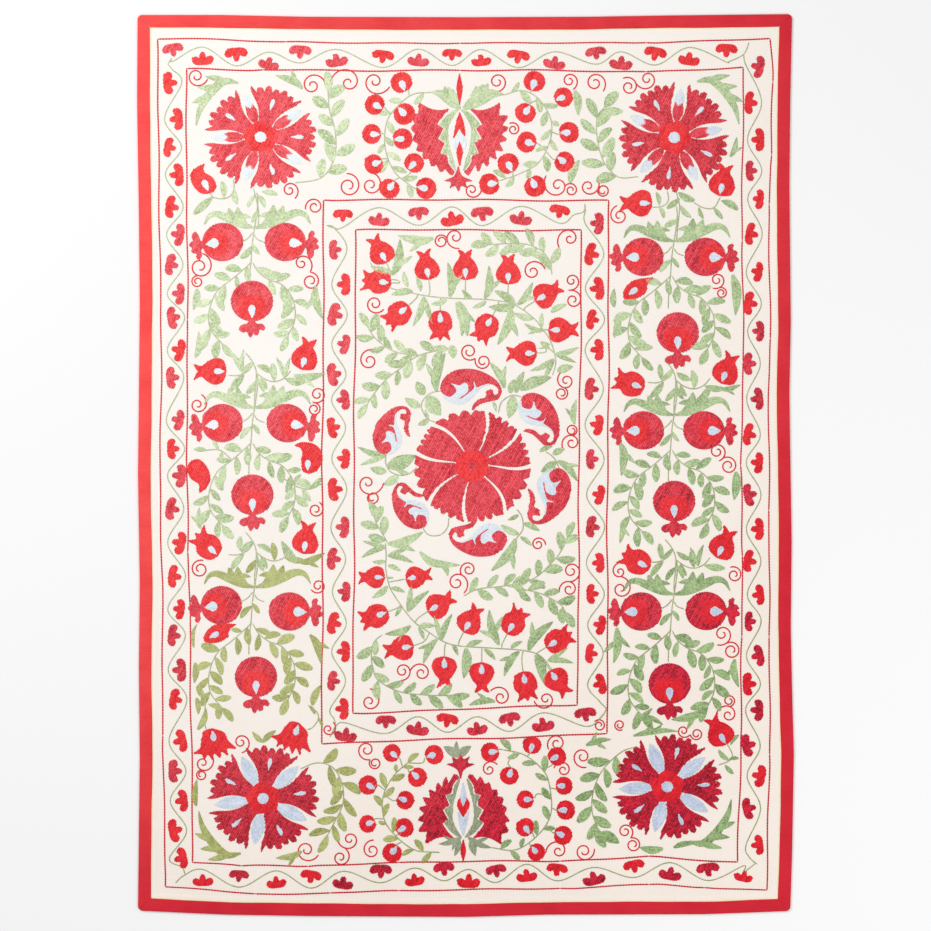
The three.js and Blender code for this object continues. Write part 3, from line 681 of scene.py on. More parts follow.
def palmette(place):
    middle = np.array(FAN_MIDDLE)
    for side in (1, -1):
        points, sharp = [], []
        for here, after in zip(FINGER_TIPS, FINGER_TIPS[1:]):
            notch = (np.array(here) + after) / 2
            points += [here, notch + (middle - notch) * FINGER_NOTCH[side]]
            sharp.append(len(points) - 1)
        points.append(FINGER_TIPS[-1])
        sharp.append(len(points) - 1)
        inside = len(points)
        points += FAN_INSIDE
        sharp += [inside + k for k in (2, 4, 5, 6, 7, 8, 9, len(FAN_INSIDE) - 1)]
        half = [(side * x, y) for x, y in points]
        fill(crimson, [placed(outline(half, sharp), place)])
        teeth = [(side * x, y) for x, y in SERRATED_LEAF]
        fill(greens_at(place["x"], place["y"]),
             [placed(outline(teeth, (0, 3, 4, 5, 6, 7, 8, 10)), place)], lean=80,
             pitch=3.4, section=SLIM_SECTION)
    spade = outline([(0, 64), (9, 38), (13, 8), (5, 18), (0, 28), (-6, 20), (-14, 6), (-8, 38)],
                    (0, 2, 4, 6))
    zigzag = outline([(0, 22), (12, 2), (14, -12), (6, -24), (0, 2), (-6, -24), (-14, -12),
                      (-12, 2)], (0, 3, 4, 5))
    gem = outline([(0, -2), (7, -22), (0, -58), (-7, -22)], (0, 2))
    outer, inner = (scarlet, sky) if place["red_heart"] else (sky, scarlet)
    fill(outer, [placed(spade, place)], pitch=3.6)
    fill(inner, [placed(zigzag, place)], lean=80, pitch=3.4, high=0.8)
    fill(outer, [placed(gem, place)], pitch=3.6)
    foot, tip = place["spindle"]
    spindle = outline([(x, foot + (tip - foot) * y) for x, y in SPINDLE], (0, 3))
    fill(scarlet, [placed(spindle, place)], lean=80 + place["turn"], pitch=3.4)


# ------------------------------------------------------------------ where the motifs lie

CORNER_ROSETTES = table("x y turn size squash tone blue_petals", [
    (-455, 729, -18, 0.97, 0.92, (0.1, 1.0), False),
    (463, 728, -44, 0.95, 1.0, (0.0, 0.7), False),
    (-449, -739, -10, 0.965, 0.95, (0.0, 0.55), True),
    (448, -713, -15, 0.95, 0.96, (0.0, 0.6), True),
])
PAISLEYS = table("x y turn size", [
    (12, 179, 0, 1.0), (171, 107, -57, 0.93), (191, -72, -114, 1.0), (28, -169, 180, 0.94),
    (-129, -94, 125, 0.82), (-168, 82, 65, 0.86),
])
POMEGRANATES = table("x y turn", [
    (-539, 496, 98), (-400, 496, -96), (-474, 365, 180), (-540, 94, 100), (-396, 94, -100),
    (-473, -65, 180), (-542, -310, 98), (-391, -324, -92), (-465, -469, 180), (394, 463, 92),
    (532, 463, -92), (471, 295, 180), (395, 78, 92), (529, 78, -92), (463, -79, 180),
    (390, -324, 92), (534, -323, -92), (453, -484, 180),
])
SIDE_TULIPS = table("x y turn kind", [
    (-565, 209, 90), (-355, 246, -15), (-573, -177, 45, "crowned"),
    (-354, -162, -10), (-557, -613, 191, "hand"), (-379, -600, 162, "hand"),
    (-550, -372, -60, "slim"), (379, 392, -52, "slim"), (380, 582, 90),
    (571, 632, -12), (365, 182, 72, "crowned"), (580, 214, -22),
    (379, -212, 62, "crowned"), (573, -174, -26), (562, -590, 28),
    (-349, 16, 0, "comma"),
])
BUDS = table("x y turn size squash drop", [
    (-582, 633, 0, 1.0, 1.0, True), (-592, -20, 185, 0.88, 1.3, False),
])
FIELD_TULIPS = table("x y turn kind", [
    (-190, 478, 28), (-196, 408, 85, "crowned"), (-150, 335, 130, "crowned"),
    (-87, 444, 10), (0, 444, 0), (95, 434, 0), (182, 381, -60),
    (-56, 313, 180, "crowned"), (45, 306, 150, "crowned"), (216, 301, -90),
    (126, 249, 90), (-201, -335, 110, "crowned"), (-56, -308, -60),
    (12, -342, -30), (108, -347, -30, "crowned"), (206, -388, -60, "crowned"),
    (-147, -406, 100), (-47, -456, 180), (36, -469, 180),
    (133, -488, 190, "crowned"), (206, -481, 215),
])
SMALL_TULIPS = table("x y turn kind", [
    (-207, -248, 90), (-105, -247, -80),
])
FRUITS = table("x y", [
    (-142, 850), (-201, 801), (-136, 780), (-208, 736), (-140, 725), (-203, 669), (-114, 671),
    (-169, 615), (-88, 615), (153, 852), (217, 817), (133, 783), (229, 739), (136, 718), (219, 674),
    (95, 670), (154, 620), (53, 625), (-163, -638), (-70, -642), (-216, -709), (-107, -692),
    (-134, -743), (-217, -795), (-136, -804), (-163, -859), (55, -636), (148, -621), (203, -646),
    (97, -688), (218, -711), (133, -741), (222, -765), (133, -803), (216, -821), (157, -858),
])

# ------------------------------------------------------------------ borders

# The stitched frames: their corners, from the top left one clockwise.
FRAMES = [
    [(-684, 948), (-400, 944), (-13, 942), (400, 941), (680, 948), (689, 851), (688, 690),
     (682, 580), (683, 283), (678, -98), (679, -380), (675, -640), (674, -951), (531, -941),
     (408, -933), (210, -942), (-148, -944), (-300, -950), (-467, -954), (-668, -943),
     (-676, -600)],
    [(-619, 881), (-450, 878), (-13, 877), (400, 874), (617, 884), (615, 500), (617, 230),
     (611, 0), (615, -200), (614, -380), (611, -610), (604, -880), (408, -867), (210, -878),
     (-148, -881), (-349, -890), (-497, -889), (-606, -881), (-611, -333), (-617, -192),
     (-618, 323)],
    [(-315, 589), (318, 589), (314, -595), (-319, -618)],
    [(-244, 523), (257, 523), (248, -532), (-250, -550)],
]
OUTER_TOP = [
    (-650, 925), (-583, 903), (-509, 912), (-437, 893), (-367, 921), (-286, 898), (-183, 910),
    (-105, 900), (-30, 916), (35, 898), (117, 912), (197, 894), (289, 918), (345, 893),
    (421, 914), (496, 901), (579, 924),
]
OUTER_BOTTOM = [
    (-583, -924), (-503, -913), (-420, -926), (-343, -914), (-272, -929), (-188, -901),
    (-113, -920), (-48, -895), (7, -922), (68, -898), (136, -912), (203, -898), (285, -918),
    (374, -891), (454, -906), (538, -896), (618, -914),
]
OUTER_RIGHT = [885, 805, 723, 654, 591, 514, 430, 360, 298, 226, 148, 69, 6, -65, -141, -212,
               -287, -346, -422, -485, -543, -621, -689, -761, -842]
OUTER_LEFT = [849, 769, 706, 645, 574, 512, 446, 381, 328, 256, 195, 101, 37, -23, -96, -172,
              -246, -319, -377, -454, -519, -611, -678, -744, -810, -872]
INNER_TOP = [(-272, 555), (-192, 546), (-104, 560), (-30, 549), (37, 561), (123, 548),
             (209, 565)]
INNER_BOTTOM = [(-266, -596), (-177, -569), (-106, -584), (-40, -565), (26, -583), (98, -562),
                (172, -575), (266, -551)]
INNER_RIGHT = [537, 469, 393, 324, 257, 170, 90, 14, -65, -136, -216, -285, -354, -417, -485]
INNER_LEFT = [479, 402, 335, 269, 202, 146, 84, 15, -53, -137, -207, -280, -350, -413, -478,
              -540]


def column(places, outer, inner):
    """Blossoms down a side, outer and inner by turns; each gives its x at the top and foot."""
    points = []
    for i, y in enumerate(places):
        top, foot = inner if i % 2 else outer
        points.append((top + (foot - top) * (HALF_LENGTH - y) / (2 * HALF_LENGTH), y))
    return points


# A border's blossoms, the side they face, and the points its vine runs through before the first
# blossom and after the last.
BORDERS = [
    {"places": OUTER_TOP, "facing": 0,
     "before": [(-661, 891), (-652, 905)], "after": [(585, 897), (618, 913), (631, 940)]},
    {"places": OUTER_BOTTOM, "facing": 180,
     "before": [(-645, -933), (-626, -914)], "after": [(618, -905), (645, -884)]},
    {"places": column(OUTER_RIGHT, (655, 650), (638, 628)), "facing": -90,
     "before": [(618, 913), (620, 897)], "after": [(630, -868), (650, -886)]},
    {"places": column(OUTER_LEFT, (-658, -645), (-644, -631)), "facing": 90,
     "before": [(-661, 891), (-652, 880)], "after": [(-630, -893), (-623, -911)]},
    {"places": INNER_TOP, "facing": 0,
     "before": [(-309, 533), (-291, 527)], "after": [(240, 556), (262, 563), (265, 581)]},
    {"places": INNER_BOTTOM, "facing": 180,
     "before": [(-301, -603), (-287, -578)], "after": [(300, -560), (312, -542)]},
    {"places": column(INNER_RIGHT, (291, 299), (280, 281)), "facing": -90,
     "before": [(265, 581), (266, 566)], "after": [(298, -524), (312, -542), (296, -563)]},
    {"places": column(INNER_LEFT, (-291, -294), (-269, -272)), "facing": 90,
     "before": [(-309, 533), (-291, 527)], "after": [(-292, -562), (-287, -578)]},
]
VINE_AWAY = 27           # from a blossom's middle to the vine that passes it
BLOSSOM_STRAY = 2.5      # how far a blossom lies from its place, at most
BLOSSOM_TILT = 14        # how far it is turned, at most, in degrees
BLOSSOM_SIZES = (0.94, 1.12)


def border(row):
    """Blossoms on alternate sides of a vine, with their backs to the frame lines."""
    facing = math.radians(row["facing"])
    out = np.array([-math.sin(facing), math.cos(facing)])
    vine = []
    for i, (x, y) in enumerate(row["places"]):
        x, y = np.array([x, y]) + out * rng.uniform(-BLOSSOM_STRAY, BLOSSOM_STRAY)
        outer = i % 2 == 0
        turn = row["facing"] + (180 if outer else 0) + rng.uniform(-BLOSSOM_TILT, BLOSSOM_TILT)
        threads = scarlet if rng.random() < 0.5 else crimson
        size = rng.uniform(*BLOSSOM_SIZES)
        blossom({"x": x, "y": y, "turn": turn, "size": size}, threads)
        vine.append(np.array([x, y]) + out * (-VINE_AWAY if outer else VINE_AWAY))
    line = [*map(np.array, row["before"]), *vine, *map(np.array, row["after"])]
    stem.line(spline(line, parts=12), 1.3, 0.7, 0.5, stitch=0.12)


def sides(corners):
    """Each side of a closed frame: its first corner, the way to the next, and how long that is."""
    for here, after in zip(corners, corners[1:] + corners[:1]):
        way = np.array(after, float) - here
        yield np.array(here, float), way, np.linalg.norm(way)


# The waves in a frame's lines: how far they sway, and what sets their length.
SWAYS = [(1.3, 97), (1.2, 39)]
SWAY_STEP = 25           # between the points of a frame's line


def stitched_frame(corners):
    """A frame line of chain stitch, which wanders a little as a hand-drawn line does."""
    for here, way, long in sides(corners):
        ahead = way / long
        side = np.array([-ahead[1], ahead[0]])
        t = np.linspace(0, 1, int(long / SWAY_STEP) + 2)
        sway = sum(far * np.sin(t * long / wave + start)
                   for (far, wave), start in zip(SWAYS, here))
        sway = sway * np.sin(math.pi * t) ** 0.3
        points = here + way * t[:, None] + side * sway[:, None]
        red_line.line(spline(points), 1.65, 1.0, rng.uniform(0.0, 0.2), stitch=0.25, step=3.2)


EDGE_STITCH_IN = BINDING_WIDTH + 1.2
EDGE_POINTS = 30         # between the points that this line is drawn through
EDGE_STEP = 6.0          # between the sections of its thread


def edge_stitches():
    """The pale line that holds the binding's inner fold down, all round the hanging."""
    x, y = HALF_WIDTH - EDGE_STITCH_IN, HALF_LENGTH - EDGE_STITCH_IN
    for here, way, long in sides([(-x, -y), (x, -y), (x, y), (-x, y)]):
        t = np.linspace(0, 1, int(long / EDGE_POINTS))
        edge_line.line(here + way * t[:, None], 1.3, 0.45, 0.5, step=EDGE_STEP)


CURL_POINTS = 34
CURL_TURNS = 1.5
CURL_OPENS = 0.45        # how far along a curl its line starts to leave it, as a share


def curl(x, y, radius, hand, end_x, end_y):
    """A red curl: a spiral that opens as it turns, to end where its line does."""
    t = np.linspace(0, 1, CURL_POINTS)
    r = 1.1 * radius * (0.26 + 0.74 * t ** 0.7)
    end = math.atan2(end_y - y, end_x - x)
    far = math.hypot(end_x - x, end_y - y)
    r = r + (far - r[-1]) * np.clip((t - CURL_OPENS) / (1 - CURL_OPENS), 0, 1) ** 1.7
    angle = end - hand * 2 * math.pi * CURL_TURNS * (1 - t)
    points = np.stack([x + r * np.cos(angle), y + r * np.sin(angle)], 1)
    red_line.line(points, 1.6, 0.8, rng.uniform(0.4, 0.9), stitch=0.12)
    return points


def double_curl(x, y, radius, hand, end_x, end_y, next_x, next_y, next_radius, side, next_hand):
    """A curl with its line, and a second curl that springs from the nearest point of the first."""
    first = curl(x, y, radius, hand, end_x, end_y)[CURL_POINTS // 2:]
    side = math.radians(side)
    aim = np.array([next_x + next_radius * math.cos(side), next_y + next_radius * math.sin(side)])
    near = first[np.argmin(np.linalg.norm(first - aim, axis=1))]
    curl(next_x, next_y, next_radius, next_hand, *near)


# Single curls; end is where a curl's line ends.
CURLS = table("x y radius hand end_x end_y", [
    (-597, 864, 15, 1, -572, 858), (-340, 843, 16, -1, -311, 849), (-260, 849, 16, 1, -301, 850),
    (-391, 611, 13, -1, -379, 592), (-335, 574, 15, 1, -355, 568), (-260, 620, 20, 1, -264, 648),
    (-201, 853, 16, 1, -168, 841), (-211, 622, 16, 1, -208, 650), (70, 852, 16, -1, 57, 831),
    (106, 746, 11, 1, 97, 759), (14, 612, 12, 1, 36, 616), (230, 854, 13, -1, 238, 834),
    (287, 849, 17, -1, 305, 830), (342, 554, 15, -1, 337, 577), (-499, -614, 13, -1, -497, -638),
    (-305, -585, 10, 1, -294, -569), (-353, -853, 16, 1, -326, -864),
    (-207, -854, 14, -1, -203, -831), (53, -675, 11, -1, 71, -664), (203, -617, 15, 1, 185, -631),
    (217, -676, 12, 1, 196, -672), (260, -646, 15, 1, 269, -670), (206, -856, 13, 1, 178, -860),
    (263, -856, 16, 1, 286, -850), (297, -577, 12, 1, 286, -569), (342, -576, 11, 1, 349, -586),
    (161, -175, 12, -1, 178, -177), (-214, -524, 14, 1, -213, -495), (78, -515, 14, 1, 55, -501),
    (178, -518, 13, -1, 152, -522), (-213, 232, 16, -1, -194, 253), (-595, 135, 14, 1, -587, 158),
    (-333, -98, 14, 1, -325, -81), (-589, -230, 17, -1, -581, -211),
    (-327, -267, 13, -1, -343, -275), (596, -243, 14, 1, 587, -226), (-201, 359, 15, 1, -181, 347),
    (232, 503, 13, 1, 208, 483), (149, 430, 15, -1, 177, 435),
])
# Double curls: the same for the curl with the line, then the curl that springs from it on a side,
# in degrees.
DOUBLE_CURLS = table("x y radius hand end_x end_y next_x next_y next_radius side next_hand", [
    (205, 622, 16, -1, 179, 644, 234, 611, 12, 147, 1),
    (272, 620, 13, 1, 292, 640, 305, 610, 14, 171, -1),
    (362, 840, 15, 1, 349, 859, 403, 858, 14, -156, -1),
    (-583, -660, 12, 1, -562, -644, -586, -687, 12, 75, -1),
    (-257, -829, 14, -1, -285, -827, -278, -870, 14, 66, 1),
    (-219, -631, 15, 1, -211, -653, -201, -661, 13, 57, -1),
    (484, -589, 10, 1, 499, -597, 513, -596, 12, 54, -1),
    (583, -554, 13, 1, 556, -553, 585, -522, 12, -90, -1),
    (354, -812, 13, -1, 366, -827, 372, -842, 15, 165, 1),
    (-217, -38, 14, 1, -181, -38, -206, -72, 15, 128, -1),
    (-20, -260, 16, -1, -4, -284, 7, -231, 13, -150, 1),
    (230, -275, 14, 1, 208, -282, 234, -234, 15, -93, -1),
    (-140, -456, 14, -1, -144, -477, -98, -461, 14, 170, 1),
    (39, 231, 15, -1, 22, 238, 8, 253, 16, -50, 1),
    (224, 188, 14, -1, 212, 207, 213, 160, 14, 62, 1),
    (236, 50, 14, 1, 217, 35, 236, 78, 13, -92, -1),
    (-590, 441, 20, 1, -584, 471, -595, 408, 12, 100, -1),
    (-364, 448, 12, -1, -345, 429, -344, 409, 17, 110, 1),
    (558, 412, 13, -1, 548, 394, 568, 383, 11, 100, 1),
    (569, -374, 15, -1, 558, -398, 590, -411, 17, 130, 1),
    (-329, 158, 14, -1, -340, 141, -336, 125, 13, 75, 1),
    (558, 31, 15, -1, 562, 10, 583, -1, 16, 120, 1),
    (343, -236, 10, -1, 346, -215, 344, -274, 15, 75, 1),
    (-22, 507, 14, 1, -13, 482, -54, 498, 15, 30, -1),
    (235, 410, 12, -1, 228, 389, 238, 367, 14, 110, 1),
])

# ------------------------------------------------------------------ leaves and stems

LEAF_RINGS = 6
LEAF_ROWS = 5            # rows of thread side by side in a small leaf
BLADE_ROW = 2.8          # between two rows of thread in a long leaf


def greens_at(x, y):
    """The green in use at a place: the plants were worked from several dye lots."""
    if abs(x) < 75 and y < -600:
        return sage
    if x < -60 and (y < -590 or (x < -316 and y < -205)):
        return olive
    return leaf


def row_places(count):
    """Where each of a leaf's rows lies across it, from -1 to 1."""
    return [-1 + (2 * k + 1) / count for k in range(count)]


def row_half(half, count):
    """Half the width of each of a leaf's rows, which overlap a little."""
    return half / count * 1.25 + 0.15


def leaves(rows, wide=5.8):
    """Small leaves, each in the green in use where it grows."""
    for threads in (leaf, olive, sage):
        own = [row for row in rows if greens_at(*row[:2]) is threads]
        if own:
            small_leaves(threads, np.array(own, float), wide)


def small_leaves(threads, rows, wide):
    """Small leaves of one green, each from its base to its tip and filled with rows along it."""
    base, tip = rows[:, :2], rows[:, 2:4]
    ahead = tip - base
    long = np.linalg.norm(ahead, axis=1, keepdims=True)
    side = np.stack([-ahead[:, 1], ahead[:, 0]], 1) / long
    bend = rng.uniform(-0.1, 0.1, (len(rows), 1)) * long
    t = np.linspace(0, 1, LEAF_RINGS)
    spine = base[:, None] + ahead[:, None] * t[None, :, None]
    spine = spine + (side * bend)[:, None] * np.sin(math.pi * t)[None, :, None]
    profile = np.sin(math.pi * np.clip(t, 0.02, 0.96) ** 1.15) ** 0.6
    size = wide * np.clip(long[:, 0] / 32, 0.7, 1.35) * rng.uniform(0.85, 1.12, len(rows))
    half = size[:, None] * profile
    tones = rng.uniform(0.1, 0.9, len(rows))
    for place in row_places(LEAF_ROWS):
        path = spine + side[:, None] * (half * place)[..., None]
        high = np.full(half.shape, 0.75) * rng.uniform(0.85, 1.15, half.shape)
        lift = np.full(half.shape, 0.25 * (1 - abs(place)))
        tone = np.clip(tones + rng.uniform(-0.2, 0.2, len(rows)), 0, 1)
        threads.lay(path, row_half(half, LEAF_ROWS), high, lift, tone, SLIM_SECTION)


def blade(route, wide):
    """A long pointed leaf that follows a curved route, filled with rows along it."""
    path = evenly(spline(route), 5.0)
    n = len(path)
    _, side = heading(path)
    t = np.clip(np.linspace(0, 1, n), 0.03, 0.99)
    half = wide * np.sin(math.pi * t ** 0.8) ** 0.75
    count = max(2, int(round(2 * wide / BLADE_ROW)))
    tone = rng.uniform(0.1, 0.8)
    threads = greens_at(*path.mean(0))
    for place in row_places(count):
        row = path + side * (half * place)[:, None]
        high = 0.8 * rng.uniform(0.85, 1.15, n)
        threads.lay(row[None], row_half(half, count)[None], high[None],
                    np.full((1, n), 0.3 * (1 - abs(place))), [tone + rng.uniform(-0.15, 0.2)],
                    SLIM_SECTION)


# Long leaves, drawn along a line from base to tip: how far along and how far aside, both as
# shares of the leaf's length, and half the width of each arm as a share of it too.
LONG_LEAVES = {
    "plain": [([(0, 0), (0.35, 0.06), (0.7, 0.04), (1, 0)], 0.16)],
    "slim": [([(0, 0), (0.35, 0.07), (0.7, 0.05), (1, 0)], 0.115)],
    "thin": [([(0, 0), (0.35, 0.10), (0.7, 0.10), (1, 0)], 0.08)],
    "fat": [([(0, 0), (0.5, 0.04), (1, 0)], 0.24)],
    "round": [([(0, 0), (0.5, 0.03), (1, 0)], 0.33)],
    "forked": [([(0, 0), (0.3, 0.08), (0.65, 0.05), (1, -0.03)], 0.12),
               ([(0.28, 0.05), (0.46, 0.24), (0.64, 0.40)], 0.065)],
    "long": [([(0, 0), (0.3, 0.14), (0.65, 0.1), (1, 0)], 0.085),
             ([(0.55, 0.1), (0.72, 0.2), (0.8, 0.34)], 0.06)],
    "toothed": [([(0, 0), (0.35, 0.05), (0.7, 0.05), (1, 0)], 0.065),
                ([(0.2, 0.03), (0.32, 0.10), (0.38, 0.18)], 0.03),
                ([(0.45, 0.05), (0.58, 0.12), (0.66, 0.2)], 0.03)],
    "vee": [([(0, 0), (0.5, 0.06), (1, 0)], 0.10),
            ([(0, 0), (0.34, 0.26), (0.72, 0.56)], 0.085)],
    "trident": [([(0, 0), (0.35, 0.04), (0.7, 0.03), (1, -0.04)], 0.115),
                ([(0.22, 0.04), (0.4, 0.22), (0.54, 0.40)], 0.06),
                ([(0.38, -0.02), (0.56, -0.18), (0.72, -0.34)], 0.06)],
    "wing": [([(0, 0), (0.4, 0.08), (0.75, 0.10), (1, 0)], 0.15),
             ([(0.2, 0.05), (0.38, 0.24), (0.46, 0.40)], 0.09),
             ([(0.45, 0.08), (0.62, 0.24), (0.74, 0.36)], 0.085)],
}


def long_leaf(x, y, tip_x, tip_y, kind="plain", hand=1):
    """A long leaf of a kind; its side arm is on the left of the way it points, or the right."""
    ahead = np.array([tip_x - x, tip_y - y], float)
    side = np.array([-ahead[1], ahead[0]]) * hand
    long = np.linalg.norm(ahead)
    for route, wide in LONG_LEAVES[kind]:
        blade([np.array([x, y]) + ahead * a + side * b for a, b in route], wide * long)


def vine_line(points):
    stem.line(spline(points), 1.3, 0.75, rng.uniform(0.3, 0.8), stitch=0.12)


# How far each kind of flower reaches from its middle, so that no sprayed leaf lies over one.
FLOWER_REACH = [(POMEGRANATES, 43), (SIDE_TULIPS, 28), (FIELD_TULIPS, 26), (SMALL_TULIPS, 23),
                (BUDS, 28), (FRUITS, 23)]
flowers = np.array([(row["x"], row["y"], reach)
                    for rows, reach in FLOWER_REACH for row in rows], float)


def clear_of_flowers(rows):
    """The leaves that lie over no flower; one whose tip would is cut short, or left out."""
    kept = []
    for x, y, tip_x, tip_y in rows:
        for share in (1.0, 0.8, 0.6):
            path = np.array([(x, y)]) + np.outer((0, 0.5, 1), (tip_x - x, tip_y - y)) * share
            gaps = np.linalg.norm(path[:, None] - flowers[None, :, :2], axis=2) - flowers[:, 2]
            if gaps.min() > 0:
                kept.append((x, y, *path[-1]))
                break
    return kept


# A spray's two sides, and how far into a pair's stretch of stem each side's leaf grows.
SPRAY_SIDES = [(1, 0.15), (-1, 0.6)]


def spray(points, pairs, long, wide, angle=42, start=0.04):
    """A stem with leaves on both sides, each a little further along than the one opposite."""
    vine_line(points)
    path = evenly(spline(points), 2.0)
    ahead, _ = heading(path)
    rows = []
    for i in range(pairs):
        for side, lag in SPRAY_SIDES:
            t = start + (1 - start) * (i + lag) / pairs
            at = min(len(path) - 1, int(t * len(path)))
            a = math.radians(side * (angle + rng.uniform(-9, 9)))
            c, s = math.cos(a), math.sin(a)
            dx, dy = ahead[at]
            way = np.array([dx * c - dy * s, dx * s + dy * c])
            size = long * rng.uniform(0.85, 1.12)
            rows.append((*(path[at] + way * 2), *(path[at] + way * size)))
    rows.append((*path[-1], *(path[-1] + ahead[-1] * long * 0.95)))
    leaves(clear_of_flowers(rows), wide)


TWIG_BOW = 0.16          # how far a fruit's twig bows out, as a share of its length
TWIG_END = 0.35          # how far from the fruit's middle it ends, as a share too


def fruit_twig(x, y):
    """A twig from a small fruit to the nearest of the leafy stems beside it."""
    here = np.array([x, y], float)
    routes = np.concatenate([evenly(spline(row["points"]), 5.0) for row in FRUIT_SPRAYS])
    near = routes[np.argmin(np.linalg.norm(routes - here, axis=1))]
    bow = np.array([here[1] - near[1], near[0] - here[0]]) * TWIG_BOW
    vine_line([near, (near + here) / 2 + bow, here + (near - here) * TWIG_END])
    return math.degrees(math.atan2(here[0] - near[0], near[1] - here[1]))


LONGEST_STALK = 75


def stalk(place, stems):
    """The stalk of a tulip, from its foot to the nearest stem it can reach."""
    turn = math.radians(place["turn"])
    down = np.array([math.sin(turn), -math.cos(turn)])
    foot = np.array([place["x"], place["y"]]) + down * 30
    aim = foot + down * 22
    gaps = np.linalg.norm(stems - aim, axis=1)
    if gaps.min() < LONGEST_STALK:
        near = stems[np.argmin(gaps)]
        vine_line([foot, aim * 0.75 + near * 0.25, near])


def flare(place):
    """The small open flower that stands on its stalk at the foot of a palmette."""
    for side in (1, -1):
        cup = outline([(0, -24), (side * 4, -10), (side * 10, -3), (side * 28, 5),
                       (side * 14, 7), (side * 17, 19), (side * 6, 14), (0, 25)], (0, 3, 5, 7))
        fill(crimson, [placed(cup, place)], pitch=3.4)


def shifted(points, x, y, squeeze=1.0):
    return [(x + px, y + py * squeeze) for px, py in points]


def shifted_leaves(rows, x, y):
    leaves([(x + a, y + b, x + c, y + d) for a, b, c, d in rows])


# A side column repeats one plant, drawn from the node its branches spring from: the two sprays
# that close round the lowest pomegranate, the leaves above it, and a wing on each side.
SPRAY_LEFT = [(-6, -76), (-27, -95), (-52, -116), (-84, -142), (-101, -185), (-98, -225),
              (-72, -258)]
SPRAY_RIGHT = [(-4, -78), (8, -98), (30, -115), (62, -128), (86, -162), (89, -205),
               (74, -240)]
HEAD_STEMS = [
    [(0, 0), (5, 34), (7, 59), (5, 78)],
    [(0, 0), (-5, -34), (-8, -75), (-12, -115), (-13, -150)],
    [(-4, -11), (-18, -26), (-40, -36)],
    [(0, -16), (6, -26), (22, -33)],
]
HEAD_LEAVES = [(-7, -42, -31, -68), (-5, -36, 10, -58)]
WING = [
    ([(2, 0), (30, 7), (60, 20), (92, 33), (112, 28), (124, 8)], 9.5),
    ([(16, 4), (31, 16), (30, 28), (10, 26)], 7.5),
    ([(22, 8), (38, 24), (42, 50)], 11.0),
    ([(40, 14), (56, 28), (64, 48)], 9.5),
]
# The foot of a plant is drawn from the node of the next plant below it.
FOOT_STEMS = [
    [(-20, 122), (-6, 104), (3, 83), (3, 54), (0, 26), (0, 0)],
    [(-3, 98), (-15, 82), (-36, 72), (-58, 72)],
    [(3, 78), (22, 64), (44, 58), (66, 66), (80, 82)],
]
FOOT_LEAVES = [(3, 60, -18, 32), (-28, 78, -32, 112), (-24, 73, -52, 40), (14, 69, 27, 42),
               (68, 64, 112, 58), (-3, 102, -26, 80), (6, 94, 36, 78), (4, 66, 20, 36),
               (44, 60, 40, 98)]


def plant_head(x, y, squeeze):
    for points in HEAD_STEMS:
        vine_line(shifted(points, x, y))
    shifted_leaves(HEAD_LEAVES, x, y)
    for points in (SPRAY_LEFT, SPRAY_RIGHT):
        spray(shifted(points, x, y, squeeze), 7, long=39, wide=7.1, angle=50)
    for side, size in ((1, 1.0), (-1, 0.9)):
        for route, wide in WING:
            blade([(x + side * px * size, y + py * size) for px, py in route], wide * size)


def plant_foot(x, y):
    for points in FOOT_STEMS:
        vine_line(shifted(points, x, y))
    shifted_leaves(FOOT_LEAVES, x, y)


# Each plant's node, and how drawn out its sprays are.
PLANTS = table("x y squeeze", [
    (-468, 528, 1.0), (-468, 128, 1.01), (-468, -270, 1.04), (463, 498, 1.0), (463, 112, 1.0),
    (463, -286, 1.04),
])
FEET = table("x y", [
    (-468, 128), (-468, -270), (463, 112), (463, -286),
])
# Long leaves beside the plants, from base to tip.
SIDE_LEAVES = table("x y tip_x tip_y kind hand", [
    (-596, 392, -604, 346), (-332, 398, -320, 326, "forked", -1),
    (-600, 240, -590, 296, "forked", -1), (-402, 196, -420, 240, "vee", -1),
    (-380, 200, -312, 202, "forked", -1), (-500, 212, -524, 256, "vee", -1),
    (-588, -140, -592, -94, "forked"), (-374, -216, -408, -168),
    (-370, -214, -312, -196, "forked", -1), (-345, -376, -318, -440, "forked"),
    (-603, -404, -596, -352, "thin"), (-600, -438, -602, -482), (-597, -516, -593, -552),
    (-598, -755, -596, -697, "slim"), (587, 685, 603, 728, "forked", -1),
    (298, -816, 341, -838, "fat"), (462, -848, 512, -838, "slim"), (-340, -532, -322, -488),
    (-449, -614, -421, -588), (-449, -614, -473, -591), (593, 423, 599, 334, "slim"),
    (330, 352, 330, 392), (338, 330, 330, 284), (566, 170, 610, 178, "forked", -1),
    (524, 136, 546, 178), (344, 50, 348, -22, "forked"), (600, -14, 596, -76),
    (346, -126, 344, -172, "forked"), (516, -222, 528, -176, "vee"),
    (336, -360, 332, -438, "trident"), (598, -430, 604, -492, "forked", -1),
    (373, -600, 471, -590, "toothed"), (372, -566, 415, -540, "forked", -1),
    (526, -543, 458, -566, "forked"), (395, -557, 438, -575, "slim"),
])

# The corner sprays, each from its root to its tip, how many pairs of leaves it bears, and how
# wide they are.
CORNER_SPRAYS = table("points pairs wide", [
    ([(-379, 627), (-325, 636), (-299, 663), (-288, 700), (-290, 745), (-302, 790),
      (-305, 830)], 5, 8.2),
    ([(384, 641), (340, 640), (308, 672), (293, 722), (292, 772), (309, 795)], 5, 7.6),
    ([(-366, -673), (-330, -660), (-296, -669), (-274, -705), (-272, -750), (-290, -790),
      (-306, -820)], 6, 6.6),
    ([(381, -624), (346, -636), (304, -676), (284, -722), (281, -768), (294, -806)], 5, 7.2),
])
